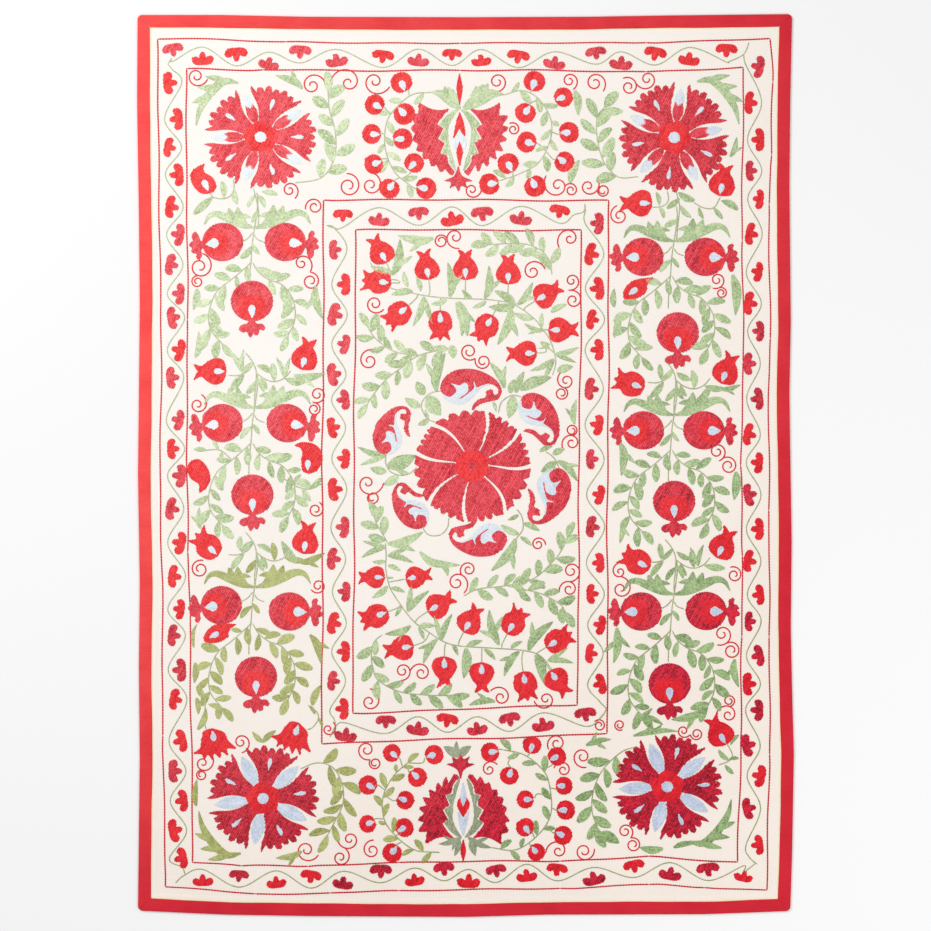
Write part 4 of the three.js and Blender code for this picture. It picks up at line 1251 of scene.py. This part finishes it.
# Leafy stems that hold fruit round the palmettes, each from its root to its tip.
FRUIT_SPRAYS = table("points pairs", [
    ([(-76, 828), (-116, 824), (-150, 798), (-175, 762), (-178, 703), (-157, 651), (-118, 618)], 8),
    ([(84, 822), (126, 832), (163, 813), (189, 769), (188, 722), (163, 673), (119, 647),
      (76, 632)], 8),
    ([(-57, -859), (-116, -852), (-168, -808), (-184, -768), (-180, -725), (-157, -686),
      (-128, -660)], 7),
    ([(57, -848), (112, -853), (163, -818), (190, -771), (186, -708), (171, -675), (130, -642),
      (84, -631)], 8),
])

# A garland lies outside each corner rosette. It is drawn about the rosette's middle for the top
# left corner, and mirrored for the others: a curved leaf, and the arms that reach outward.
GARLAND = [
    ([(-50, 123), (-78, 127), (-101, 112), (-121, 88), (-136, 60), (-143, 29)], 9.0),
    ([(-72, 124), (-96, 132), (-122, 137)], 6.5),
    ([(-94, 115), (-118, 112), (-139, 113)], 6.5),
    ([(-116, 94), (-134, 86), (-151, 79)], 6.0),
]
GARLANDS = table("x y flip_x flip_y", [
    (-455, 726, 1, 1), (464, 729, -1, 1), (-449, -738, 1, -1), (447, -712, -1, -1),
])

# Stems and leaves round the corner rosettes, and the wings of the palmettes.
CORNER_STEMS = [
    [(-461, 524), (-459, 558), (-463, 585), (-471, 616)],
    [(-515, 636), (-514, 612), (-524, 597), (-541, 592), (-561, 596), (-566, 606)],
    [(468, 498), (472, 541), (475, 575), (468, 606), (464, 620)],
    [(506, 584), (528, 572), (551, 572), (566, 596)],
    [(448, 609), (450, 588), (437, 575), (414, 573)],
    [(574, -607), (592, -640), (586, -655), (562, -665)],
    [(-350, -532), (-332, -545), (-326, -562), (-340, -582), (-352, -586)],
    [(-574, -505), (-580, -560), (-576, -585)],
    [(-405, -28), (-374, -47), (-345, -52), (-318, -40)],
    [(-520, 14), (-545, 34), (-575, 34), (-594, 32)],
]
CORNER_LEAVES = [
    (-468, 600, -484, 574), (-461, 600, -446, 574), (-461, 566, -474, 540),
    (-451, 608, -418, 602), (-537, 594, -541, 630), (-514, 614, -507, 581),
    (-561, 596, -603, 558), (475, 592, 447, 571), (477, 577, 500, 551),
    (472, 544, 442, 530), (472, 606, 508, 588), (518, 573, 527, 548), (551, 572, 570, 548),
    (568, 588, 604, 568), (430, 578, 424, 606), (430, 575, 440, 550), (586, -655, 562, -632),
    (586, -652, 606, -650), (576, -665, 594, -684), (588, -620, 606, -598),
    (-328, -560, -318, -580), (-334, -552, -346, -534), (-576, -540, -594, -586),
    (-570, -530, -540, -540), (-578, -520, -596, -490), (387, -848, 438, -851),
    (-380, -44, -366, -20), (-345, -52, -322, -28), (-362, -50, -345, -78),
    (-574, 34, -602, 36), (-548, 34, -560, 56), (-540, 30, -546, 8),
]
PALMETTE_LEAVES = table("x y tip_x tip_y kind hand", [
    (-12, 792, -76, 828, "wing", -1), (-20, 800, -39, 840, "plain", -1), (-4, 792, 84, 824, "wing"),
    (12, 804, 40, 845), (-10, -826, -58, -842, "trident"), (-14, -830, -24, -866),
    (6, -826, 56, -850, "trident", -1), (12, -830, 22, -866, "plain", -1),
    (-17, -646, -48, -624, "fat", -1), (-17, -646, 12, -623, "fat"), (-17, -646, -20, -612),
    (243, 832, 250, 778), (232, 628, 252, 678), (-362, 837, -420, 867, "forked", -1),
    (-364, -856, -420, -873, "forked"), (268, -621, 322, -606, "trident"),
])
PALMETTE_FLARES = table("x y turn", [
    (-16, 637, 180), (-11, -668, 0),
])

# ------------------------------------------------------------------ the plants of the inner field

# The stems from which the tulips of the inner field hang.
FIELD_STEMS = [
    [(-212, 451), (-196, 425), (-186, 411), (-166, 394), (-132, 386), (-84, 376), (-30, 371),
     (34, 369), (69, 366), (108, 357), (149, 329), (170, 304), (187, 280), (196, 257)],
    [(-176, 415), (-150, 411)],
    [(-178, -172), (-176, -202), (-177, -229), (-169, -267), (-155, -293), (-119, -342),
     (-86, -367), (-33, -397), (52, -405), (124, -410), (165, -422), (194, -456)],
]
FIELD_SPRAYS = table("points pairs", [
    ([(192, 423), (188, 448), (172, 474), (140, 490), (104, 493), (50, 490)], 6),
    ([(-38, 260), (-104, 244), (-145, 215), (-175, 192), (-202, 161), (-218, 136)], 6),
    ([(-108, 244), (-155, 252), (-186, 270), (-205, 288), (-216, 306)], 4),
    ([(-5, -290), (29, -274), (88, -267), (151, -251), (192, -215), (212, -190), (226, -160)], 7),
    ([(92, -267), (128, -275), (169, -285), (210, -308), (222, -326)], 4),
    ([(-185, -376), (-203, -392), (-209, -420), (-205, -451), (-192, -478), (-142, -503),
      (-72, -510), (-29, -510)], 7),
    ([(-173, -172), (-183, -154), (-198, -128), (-202, -116)], 2),
])
FIELD_LEAVES = table("x y tip_x tip_y kind hand", [
    (-163, 423, -143, 501, "forked", -1), (-164, 430, -210, 442), (-128, 397, -137, 430),
    (-118, 386, -164, 379, "plain", -1), (-100, 388, -109, 420, "plain", -1),
    (-93, 374, -116, 310, "vee"), (-42, 368, -76, 358), (-35, 375, -37, 450, "forked", -1),
    (-14, 363, -6, 288, "forked"), (-72, 504, -150, 508, "forked"), (14, 371, -8, 390),
    (43, 371, 54, 442, "forked", -1), (45, 364, 16, 350), (-19, 362, 4, 288),
    (110, 357, 64, 388, "plain", -1), (115, 357, 150, 405, "forked", -1), (108, 354, 52, 352),
    (100, 350, 74, 268, "forked"), (149, 326, 108, 338), (172, 299, 130, 314, "forked"),
    (170, 309, 170, 338), (190, 340, 224, 358), (187, 268, 166, 275),
    (-177, -181, -230, -204, "vee", -1), (-172, -174, -94, -150, "forked", -1),
    (-172, -200, -116, -216, "vee"), (-178, -212, -206, -214), (-172, -222, -144, -234),
    (-173, -268, -207, -294), (-165, -272, -135, -281), (-128, -324, -81, -278, "vee"),
    (-144, -310, -156, -335), (-122, -356, -178, -376, "forked"),
    (-101, -192, -12, -221, "long", -1), (-104, -358, -67, -356), (-104, -361, -92, -386),
    (-54, -388, -30, -330, "vee"), (-63, -386, -95, -438, "forked", -1), (-29, -398, -17, -421),
    (3, -402, 37, -389), (1, -406, -4, -472), (74, -398, 50, -322, "trident"),
    (101, -405, 126, -390), (42, -408, 66, -431), (119, -413, 84, -466, "forked", -1),
    (140, -410, 192, -345, "forked"), (156, -420, 174, -483), (183, -433, 239, -438, "vee"),
    (65, -524, 8, -530, "forked", -1), (111, -163, 60, -235, "forked"), (129, -129, 164, -145),
    (118, -152, 79, -132), (122, -159, 147, -178), (117, -109, 94, -121),
])
# Stems and leaves round the middle rosette.
RING_STEMS = [
    [(-55, 166), (-76, 161), (-91, 149), (-98, 134), (-93, 116), (-82, 102), (-67, 96)],
    [(-176, 29), (-177, 5), (-166, -14), (-144, -22), (-124, -18), (-108, -4)],
    [(187, 279), (197, 252), (200, 225), (193, 200)],
    [(198, 249), (183, 260), (162, 260)],
    [(73, 116), (79, 139), (94, 152), (108, 156), (124, 152)],
    [(178, 31), (192, 21), (202, 9), (209, -11)],
    [(114, -97), (124, -111), (128, -129), (126, -145), (112, -163)],
    [(-96, -131), (-91, -145), (-79, -155), (-56, -154), (-40, -138), (-37, -116)],
]
RING_LEAVES = table("x y tip_x tip_y kind hand", [
    (-92, 158, -108, 186, "round"), (-83, 153, -56, 112, "round", -1),
    (-101, 131, -134, 149, "fat"), (-82, 104, -89, 124), (-82, 102, -105, 90, "fat"),
    (-65, 166, -48, 250, "forked"), (-40, 259, -70, 263, "fat"), (-31, 266, -27, 238, "round"),
    (-178, 21, -239, 41, "vee"), (-172, -2, -112, 22, "fat", -1), (-176, -13, -211, -6, "fat"),
    (-150, -24, -181, -43, "fat"), (-126, -18, -155, -8), (185, 262, 166, 275, "fat"),
    (199, 247, 251, 262, "vee", -1), (196, 236, 144, 210, "vee"), (204, 209, 238, 220, "fat"),
    (86, 172, 55, 230, "forked", -1), (99, 161, 108, 191, "fat"), (112, 162, 130, 208),
    (122, 168, 190, 196), (106, 153, 96, 106, "fat"), (61, 141, 68, 120),
    (242, 92, 244, 146, "forked"), (165, 31, 193, 43), (194, 25, 220, 37, "fat"),
    (205, 10, 250, -34, "forked"), (200, 8, 168, -14, "fat"),
])


# ------------------------------------------------------------------ working the motifs

for place in CORNER_ROSETTES:
    corner_rosette(place)
middle_rosette({"x": 15, "y": -1, "turn": 0, "size": 0.98, "squash": 0.96})
for place in PAISLEYS:
    paisley(place)
palmette({"x": -13, "y": 721, "turn": 0, "red_heart": True, "spindle": (78, 148)})
palmette({"x": -5, "y": -759, "turn": 180, "size": 0.93, "squash": 1.04, "red_heart": False,
          "spindle": (72, 124)})
for place in POMEGRANATES:
    hanging = {"size": 1.1, "squash": 0.9, "slim": 0.7} if place["turn"] == 180 else {}
    pomegranate({**place, **hanging})
for rows, size in ((SIDE_TULIPS, 1.0), (FIELD_TULIPS, 0.94), (SMALL_TULIPS, 0.82)):
    for place in rows:
        tulip({**place, "size": size})
for place in BUDS:
    bud(place)
for row in BORDERS:
    border(row)
for corners in FRAMES:
    stitched_frame(corners)
for row in CURLS:
    curl(**row)
for row in DOUBLE_CURLS:
    double_curl(**row)
for row in PLANTS:
    plant_head(**row)
for row in FEET:
    plant_foot(**row)
for row in SIDE_LEAVES + PALMETTE_LEAVES + FIELD_LEAVES + RING_LEAVES:
    long_leaf(**row)
for row in CORNER_SPRAYS:
    spray(**row, long=46, angle=46, start=0.2)
for row in FRUIT_SPRAYS:
    spray(**row, long=33, wide=6.8)
for place in FRUITS:
    turn = fruit_twig(**place) + rng.uniform(-12, 12)
    size = (1.0 if place["y"] > 0 else 0.9) * rng.uniform(0.94, 1.06)
    fruit({**place, "turn": turn, "size": size})
for row in FIELD_SPRAYS:
    spray(**row, long=39, wide=7.4)
stem_routes = CORNER_STEMS + FIELD_STEMS + RING_STEMS
for points in stem_routes:
    vine_line(points)
stems = np.concatenate([evenly(spline(points), 4.0) for points in stem_routes])
for place in FIELD_TULIPS + SMALL_TULIPS:
    stalk(place, stems)
leaves(CORNER_LEAVES)
for row in GARLANDS:
    for route, wide in GARLAND:
        blade([(row["x"] + row["flip_x"] * x, row["y"] + row["flip_y"] * y)
               for x, y in route], wide)
for place in PALMETTE_FLARES:
    flare({**place, "size": 1.15})
edge_stitches()

# ------------------------------------------------------------------ materials


class Shader:
    """A node material being wired."""

    def __init__(self, name, roughness, sheen):
        self.material = bpy.data.materials.new(name)
        self.material.use_nodes = True
        self.tree = self.material.node_tree
        self.skin = self.tree.nodes["Principled BSDF"]
        self.skin.inputs["Roughness"].default_value = roughness
        self.skin.inputs["Sheen Weight"].default_value = sheen
        self.skin.inputs["Sheen Roughness"].default_value = 0.4
        self.skin.inputs["Specular IOR Level"].default_value = 0.15

    def node(self, kind, **settings):
        made = self.tree.nodes.new(kind)
        for name, value in settings.items():
            setattr(made, name, value)
        return made

    def join(self, output, socket):
        self.tree.links.new(output, socket)

    def feed(self, socket, value):
        if isinstance(value, bpy.types.NodeSocket):
            self.join(value, socket)
        else:
            socket.default_value = value

    def math(self, operation, a, b=0.0, clamp=False):
        made = self.node("ShaderNodeMath", operation=operation, use_clamp=clamp)
        self.feed(made.inputs[0], a)
        self.feed(made.inputs[1], b)
        return made.outputs[0]

    def add(self, *values, clamp=False):
        """The sum of values, held between 0 and 1 at the end where it is clamped."""
        total, *rest, last = values
        for value in rest:
            total = self.math("ADD", total, value)
        return self.math("ADD", total, last, clamp)

    def times(self, a, b):
        return self.math("MULTIPLY", a, b)

    def parts(self, vector):
        made = self.node("ShaderNodeSeparateXYZ")
        self.join(vector, made.inputs[0])
        return made.outputs

    def colour(self, value):
        self.join(value, self.skin.inputs["Base Color"])

    def mix(self, share, a, b):
        made = self.node("ShaderNodeMix", data_type="RGBA")
        self.feed(made.inputs[0], share)
        self.feed(made.inputs[6], (*a, 1) if isinstance(a, tuple) else a)
        self.feed(made.inputs[7], (*b, 1) if isinstance(b, tuple) else b)
        return made.outputs[2]

    def place(self):
        """Where a point lies on the hanging, in metres."""
        return self.node("ShaderNodeTexCoord").outputs["Object"]

    def noise(self, scale, detail=2.0, stretch=(1, 1, 1), source=None):
        mapping = self.node("ShaderNodeMapping")
        mapping.inputs["Scale"].default_value = stretch
        self.join(source or self.place(), mapping.inputs["Vector"])
        made = self.node("ShaderNodeTexNoise")
        made.inputs["Scale"].default_value = scale
        made.inputs["Detail"].default_value = detail
        self.join(mapping.outputs[0], made.inputs["Vector"])
        return made.outputs["Fac"]

    def remap(self, value, low, high, to_low=0.0, to_high=1.0):
        made = self.node("ShaderNodeMapRange", interpolation_type="SMOOTHSTEP")
        self.feed(made.inputs[0], value)
        for i, number in enumerate((low, high, to_low, to_high), 1):
            made.inputs[i].default_value = number
        return made.outputs[0]

    def waves(self, value, period):
        """Ridges of a period across a value, from 0 to 1."""
        turned = self.times(value, 2 * math.pi / period)
        return self.add(self.times(self.math("SINE", turned), 0.5), 0.5)

    def vector(self, *parts):
        made = self.node("ShaderNodeCombineXYZ")
        for socket, value in zip(made.inputs, parts):
            self.feed(socket, value)
        return made.outputs[0]

    def bump(self, height, distance, strength):
        made = self.node("ShaderNodeBump")
        made.inputs["Strength"].default_value = strength
        made.inputs["Distance"].default_value = distance
        self.join(height, made.inputs["Height"])
        self.join(made.outputs[0], self.skin.inputs["Normal"])


# Painted light: how much paler the work is painted towards its left and its top, as if lit more
# brightly there, and how that falls off both ways.
PAINTED_LIGHT_SPREAD = {"left": 0.40, "top": 0.40, "wide": -0.25, "tall": -0.25, "level": 0.43}
BINDING_PAINTED_LIGHT_SPREAD = {"left": 0.60, "top": 0.45, "wide": 0.0, "tall": -0.45, "level": 0.41}


def painted_light(shader, light_spread=PAINTED_LIGHT_SPREAD):
    """How much painted light pales the work at a place, most towards the upper left, with a broad
    random mottle.
    """
    x, y, _ = shader.parts(shader.place())
    return shader.add(
        shader.times(shader.noise(2.3), 0.16),
        shader.times(x, -light_spread["left"]), shader.times(y, light_spread["top"]),
        shader.times(shader.times(x, x), light_spread["wide"]),
        shader.times(shader.times(y, y), light_spread["tall"]), light_spread["level"], clamp=True)


TIE_SPACING = 3.4        # between the slanting stitches that tie the thread down
TIE_SLANT = 2.6
ROW_SHADES = 61.0        # sets rows of different tone far apart in the noise that streaks them


def thread_material(name, deep, bright, lit_deep, lit_bright):
    """Couched thread: rows with painted shade between them, tied down by slanting stitches."""
    shader = Shader(name, 0.6, 0.03)
    strand = shader.node("ShaderNodeAttribute", attribute_name="strand")
    along, across, tone = shader.parts(strand.outputs["Vector"])
    middle = shader.math("ABSOLUTE", shader.math("SUBTRACT", across, 0.5))
    # Painted shade: each row is painted darker towards both its edges, where it meets the next, and
    # lightest along its crest.
    crown = shader.remap(middle, 0.5, 0.1)
    ties = shader.waves(shader.add(along, shader.times(across, TIE_SLANT)), TIE_SPACING)
    fibres = shader.noise(900, 3.0)
    blotches = shader.noise(38, 3.0)
    streaks = shader.noise(1.0, source=shader.vector(
        shader.times(along, 0.24), shader.times(tone, ROW_SHADES), across))
    light = shader.add(
        shader.times(crown, 0.40), shader.times(tone, 0.35), shader.times(ties, 0.14),
        shader.times(fibres, 0.12), shader.remap(streaks, 0.32, 0.68, -0.34, 0.26),
        shader.remap(blotches, 0.3, 0.7, -0.10, 0.12), clamp=True)
    # Painted light: towards the upper left the colours are mixed into paler copies of themselves.
    less_lit = shader.mix(light, deep, bright)
    over_lit = shader.mix(light, lit_deep, lit_bright)
    shader.colour(shader.mix(painted_light(shader), less_lit, over_lit))
    shader.bump(shader.add(shader.times(ties, 0.7), shader.times(fibres, 0.5)), 0.0005, 0.7)
    return shader.material


def weave_height(shader, pitch):
    """A plain weave: threads over and under one another at a pitch in metres."""
    x, y, _ = shader.parts(shader.place())
    return shader.times(shader.waves(x, pitch), shader.waves(y, pitch))


def ground_material():
    shader = Shader("cream_cotton", 0.9, 0.02)
    weave = weave_height(shader, 0.0011)
    slubs = shader.times(shader.add(shader.noise(420, stretch=(1, 0.05, 1)),
                                    shader.noise(420, stretch=(0.05, 1, 1))), 0.5)
    clouds = shader.noise(3.2, 4.0)
    light = shader.add(shader.times(slubs, 0.5), shader.times(weave, 0.35))
    cloth = shader.mix(light, (0.80, 0.70, 0.62), (0.93, 0.87, 0.81))
    warm = shader.mix(shader.remap(clouds, 0.35, 0.7), cloth, (0.90, 0.82, 0.74))
    base = shader.mix(0.35, cloth, warm)
    # Painted light: towards the upper left the cream is mixed into a paler cream.
    shader.colour(shader.mix(painted_light(shader), base, (0.93, 0.90, 0.86)))
    shader.bump(shader.add(weave, slubs), 0.0004, 0.5)
    return shader.material


def binding_material():
    shader = Shader("red_cotton", 0.8, 0.03)
    weave = weave_height(shader, 0.0009)
    slubs = shader.noise(300, 3.0, (0.08, 1, 1))
    clouds = shader.noise(14, 3.0)
    light = shader.add(shader.times(slubs, 0.45), shader.times(weave, 0.25),
                       shader.remap(clouds, 0.3, 0.7, 0.0, 0.25), clamp=True)
    # Painted light: towards the upper left the red is mixed into a paler red.
    less_lit = shader.mix(light, (0.50, 0.010, 0.022), (0.70, 0.026, 0.048))
    over_lit = shader.mix(light, (0.82, 0.040, 0.050), (1.0, 0.14, 0.115))
    shader.colour(shader.mix(painted_light(shader, BINDING_PAINTED_LIGHT_SPREAD), less_lit, over_lit))
    shader.bump(shader.add(weave, slubs), 0.0003, 0.5)
    return shader.material


# Each thread's deep colour, which also paints the shade between its rows, and its bright one;
# then both again paler, for the painted light mixed in towards the upper left.
CRIMSON = thread_material("crimson_thread", (0.10, 0.001, 0.004), (0.78, 0.018, 0.054),
                          (0.68, 0.012, 0.028), (1.0, 0.20, 0.215))
SCARLET = thread_material("scarlet_thread", (0.42, 0.002, 0.009), (0.83, 0.018, 0.032),
                          (0.78, 0.012, 0.020), (1.0, 0.13, 0.12))
SKY = thread_material("light_blue_thread", (0.34, 0.40, 0.54), (0.63, 0.68, 0.79),
                      (0.78, 0.88, 0.89), (0.97, 1.0, 1.0))
LEAF = thread_material("leaf_thread", (0.065, 0.115, 0.032), (0.41, 0.56, 0.26),
                       (0.33, 0.46, 0.18), (0.90, 0.97, 0.70))
LINE = thread_material("line_thread", (0.36, 0.004, 0.012), (0.74, 0.035, 0.05),
                       (0.60, 0.014, 0.022), (0.94, 0.10, 0.09))
STEM = thread_material("stem_thread", (0.16, 0.19, 0.07), (0.42, 0.48, 0.24),
                       (0.40, 0.45, 0.24), (0.68, 0.74, 0.50))
OLIVE = thread_material("olive_thread", (0.17, 0.18, 0.035), (0.50, 0.53, 0.20),
                        (0.36, 0.39, 0.14), (0.62, 0.66, 0.33))
SAGE = thread_material("sage_thread", (0.14, 0.17, 0.09), (0.38, 0.42, 0.29),
                       (0.36, 0.42, 0.26), (0.62, 0.68, 0.50))
EDGE_LINE = thread_material("edge_thread", (0.78, 0.62, 0.34), (0.92, 0.80, 0.52),
                            (0.90, 0.78, 0.46), (0.98, 0.90, 0.64))

# ------------------------------------------------------------------ the ground cloth


GRID_STEP = 8.2          # between the lines of the ground's mesh, away from its edge
# How far in from the hanging's edge its lines lie near the hem, which ends in the fold.
RIM_LINES = [5.0, 14.0, 24.0, 28.5, 31.0, 34.0, 37.5, 39.5, 41.5, 44.0, 48.0]
BACK_UNDER_FOLD = 29.5   # how far in the ground's back rests on the binding's lower layer
FACE_UNDER_FOLD = 30     # how far in its face stays low enough for the upper layer


def ground_cloth():
    """The ground: its puckered face and its flat back, joined round a thin edge."""
    def lines(half):
        inner = half - RIM_LINES[-1]
        middle = np.linspace(-inner, inner, int(2 * inner / GRID_STEP) + 1)
        edge = np.array([half - r for r in RIM_LINES[:-1]])
        return np.concatenate([-edge, middle, edge[::-1]])

    xs, ys = lines(HALF_WIDTH), lines(HALF_LENGTH)
    x, y = np.meshgrid(xs, ys)
    face = cloth_height(x, y)
    inset = inset_of(x, y)
    back = np.where(inset < BACK_UNDER_FOLD, BINDING_LAYER + GAP, 0.0)
    face = np.where(inset < FACE_UNDER_FOLD, np.minimum(face, HEM_TOP), face)
    x, y = made_uneven(x, y)
    rows, columns = x.shape
    top = np.stack([x, y, face], 2).reshape(-1, 3)
    low = np.stack([x, y, back], 2).reshape(-1, 3)
    i, j = np.meshgrid(np.arange(rows - 1), np.arange(columns - 1), indexing="ij")
    a = (i * columns + j).reshape(-1)
    quads = np.stack([a, a + 1, a + columns + 1, a + columns], 1)
    n = rows * columns
    under = quads[:, ::-1] + n
    ring = np.concatenate([
        np.arange(columns), np.arange(1, rows) * columns + columns - 1,
        (rows - 1) * columns + np.arange(columns - 2, -1, -1),
        np.arange(rows - 2, 0, -1) * columns])
    after = np.roll(ring, -1)
    wall = np.stack([ring, ring + n, after + n, after], 1)
    piece = add_piece("ground_cotton", np.concatenate([top, low]),
                      np.concatenate([quads, under, wall]), ground_material())
    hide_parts("ground_cloth")
    print(f"ground: {2 * (2 * len(quads) + len(wall))} triangles")
    return piece


# ------------------------------------------------------------------ the binding

# Section of the folded strip: how far in from the fold, and how high.
BINDING_SECTION = [
    (28.0, 0.0), (14.0, 0.0), (1.4, 0.0), (0.5, 0.35), (0.1, 1.1), (0.0, 1.8), (0.1, 2.6),
    (0.6, 3.2), (1.5, 3.55), (4.0, 3.6), (9.0, 3.6), (14.0, 3.6), (19.0, 3.6), (24.0, 3.6),
    (27.0, 3.55), (28.0, 3.3), (28.0, 2.6), (14.0, 2.6), (1.0, 2.6), (1.0, 1.0), (14.0, 1.0),
    (28.0, 1.0),
]
MITRE_REACH = 60         # how far along a strip its mitred end draws its points together
STRIP_STEP = 9.0
# How far along a strip its sections lie near each end, where the mitre and the corner bend.
END_SECTIONS = np.array([0, 1.2, 2.5, 4, 6, 8.5, 11, 16, 24, 34, 46])
LOOSE_FROM, LOOSE_OVER = 2.9, 0.7    # the heights over which a strip's face gets loose


def corner_draw(at):
    """How far a rounded corner draws the fold in, at a distance along the edge."""
    rest = np.clip(CORNER_RADIUS - at, 0, CORNER_RADIUS)
    return CORNER_RADIUS - np.sqrt(CORNER_RADIUS ** 2 - rest ** 2)


def mitre_start(inward):
    """Where the mitre cuts a thread of the strip that lies this far inward."""
    r = CORNER_RADIUS
    short = r - (np.sqrt(np.maximum(2 * r * r - inward * inward, 0)) - inward) / 2
    return np.where(inward < r, short, inward) + GAP


def binding_strip(name, node, half, turn, x, y):
    """One side of the binding: a folded strip with its puckers, mitred at both ends."""
    long = 2 * half
    marks = np.concatenate([
        END_SECTIONS, np.arange(MITRE_REACH, long - MITRE_REACH + 1, STRIP_STEP),
        (long - END_SECTIONS)[::-1]])
    section = np.array(BINDING_SECTION)
    inward, up = section[:, 0], section[:, 1]
    nearer = np.minimum(marks, long - marks)[:, None]
    start = mitre_start(inward)[None]
    pushed = nearer + (1 - np.minimum(nearer, MITRE_REACH) / MITRE_REACH) * start
    at = np.where(marks[:, None] * 2 < long, pushed, long - pushed)
    depth = inward[None] + corner_draw(pushed - GAP)
    phase = rng.uniform(0, 6.3, 6)
    pucker = (np.sin(at / 23 + phase[0]) * 0.35 + np.sin(at / 9.7 + phase[1] + depth / 11) * 0.25
              + np.sin(at / 41 + phase[2]) * 0.4)
    loose = (np.clip((up[None] - LOOSE_FROM) / LOOSE_OVER, 0, 1)
             * np.sin(math.pi * np.clip(depth / BINDING_WIDTH, 0, 1)))
    high = up[None] + loose * (0.25 + 0.55 * pucker)
    wander = 0.5 * np.sin(at / 57 + phase[3]) + 0.3 * np.sin(at / 21 + phase[4])
    depth = depth + np.where(inward[None] > 26.5, wander, 0.0)
    a = math.radians(turn)
    px = at * math.cos(a) - depth * math.sin(a) + x * HALF_WIDTH
    py = at * math.sin(a) + depth * math.cos(a) + y * HALF_LENGTH
    px, py = made_uneven(px, py)
    points = np.stack([px, py, high], 2).reshape(-1, 3)
    count, size = px.shape
    i, j = np.meshgrid(np.arange(count - 1), np.arange(size), indexing="ij")
    first = (i * size + j).reshape(-1)
    after = (i * size + (j + 1) % size).reshape(-1)
    faces = np.stack([first, first + size, after + size, after], 1)
    caps = []
    for base, flip in ((0, False), ((count - 1) * size, True)):
        for k in range(size // 2 - 1):
            quad = [base + k, base + k + 1, base + size - 2 - k, base + size - 1 - k]
            caps.append(quad[::-1] if flip else quad)
    piece = add_piece(name, points, np.concatenate([faces, np.array(caps)]), BINDING)
    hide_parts(node)
    return piece


BINDING = binding_material()
ground = ground_cloth()
bindings = [
    binding_strip("binding_bottom_cotton", "binding_bottom", HALF_WIDTH, 0, -1, -1),
    binding_strip("binding_right_cotton", "binding_right", HALF_LENGTH, 90, 1, -1),
    binding_strip("binding_top_cotton", "binding_top", HALF_WIDTH, 180, 1, 1),
    binding_strip("binding_left_cotton", "binding_left", HALF_LENGTH, 270, -1, 1),
]

work = [
    crimson.build(CRIMSON),
    scarlet.build(SCARLET),
    sky.build(SKY),
    stem.build(STEM),
    red_line.build(LINE),
    leaf.build(LEAF),
    olive.build(OLIVE),
    sage.build(SAGE),
    edge_line.build(EDGE_LINE),
]

# ------------------------------------------------------------------ floor, light and camera


def floor():
    mesh = bpy.data.meshes.new("floor")
    mesh.from_pydata([(-12, -12, 0), (12, -12, 0), (12, 12, 0), (-12, 12, 0)], [],
                     [(0, 1, 2, 3)])
    shader = Shader("pale_floor", 0.9, 0.0)
    shader.skin.inputs["Base Color"].default_value = (0.85, 0.85, 0.85, 1)
    mesh.materials.append(shader.material)
    made = bpy.data.objects.new("floor", mesh)
    made.location.z = -0.0005
    bpy.context.scene.collection.objects.link(made)


def area_light(name, place, target, size, power):
    data = bpy.data.lights.new(name, "AREA")
    data.shape = "RECTANGLE"
    data.size, data.size_y = size
    data.energy = power
    made = bpy.data.objects.new(name, data)
    made.location = place
    made.rotation_euler = (Vector(target) - Vector(place)).to_track_quat("-Z", "Y").to_euler()
    made.visible_camera = False
    bpy.context.scene.collection.objects.link(made)


floor()
area_light("key", (-4.2, 3.1, 3.9), (-0.1, 0.1, 0), (2.2, 2.2), 232)
area_light("fill", (2.6, -1.6, 3.4), (0, 0, 0), (3.0, 3.0), 77)

world = bpy.data.worlds.new("studio")
world.use_nodes = True
world.node_tree.nodes["Background"].inputs["Color"].default_value = (1, 1, 1, 1)
world.node_tree.nodes["Background"].inputs["Strength"].default_value = 0.55
bpy.context.scene.world = world
bpy.context.scene.view_settings.view_transform = "Standard"

FRAME_WIDTH = 2.067      # metres of the table that the picture spans
CAMERA_HEIGHT = 7.0

SENSOR = 36              # millimetres

camera_data = bpy.data.cameras.new("camera")
camera_data.sensor_width = SENSOR
camera_data.lens = SENSOR * CAMERA_HEIGHT / FRAME_WIDTH
camera = bpy.data.objects.new("camera", camera_data)
camera.location = (0, 0, CAMERA_HEIGHT)
camera_data.clip_end = 60
bpy.context.scene.collection.objects.link(camera)
bpy.context.scene.camera = camera
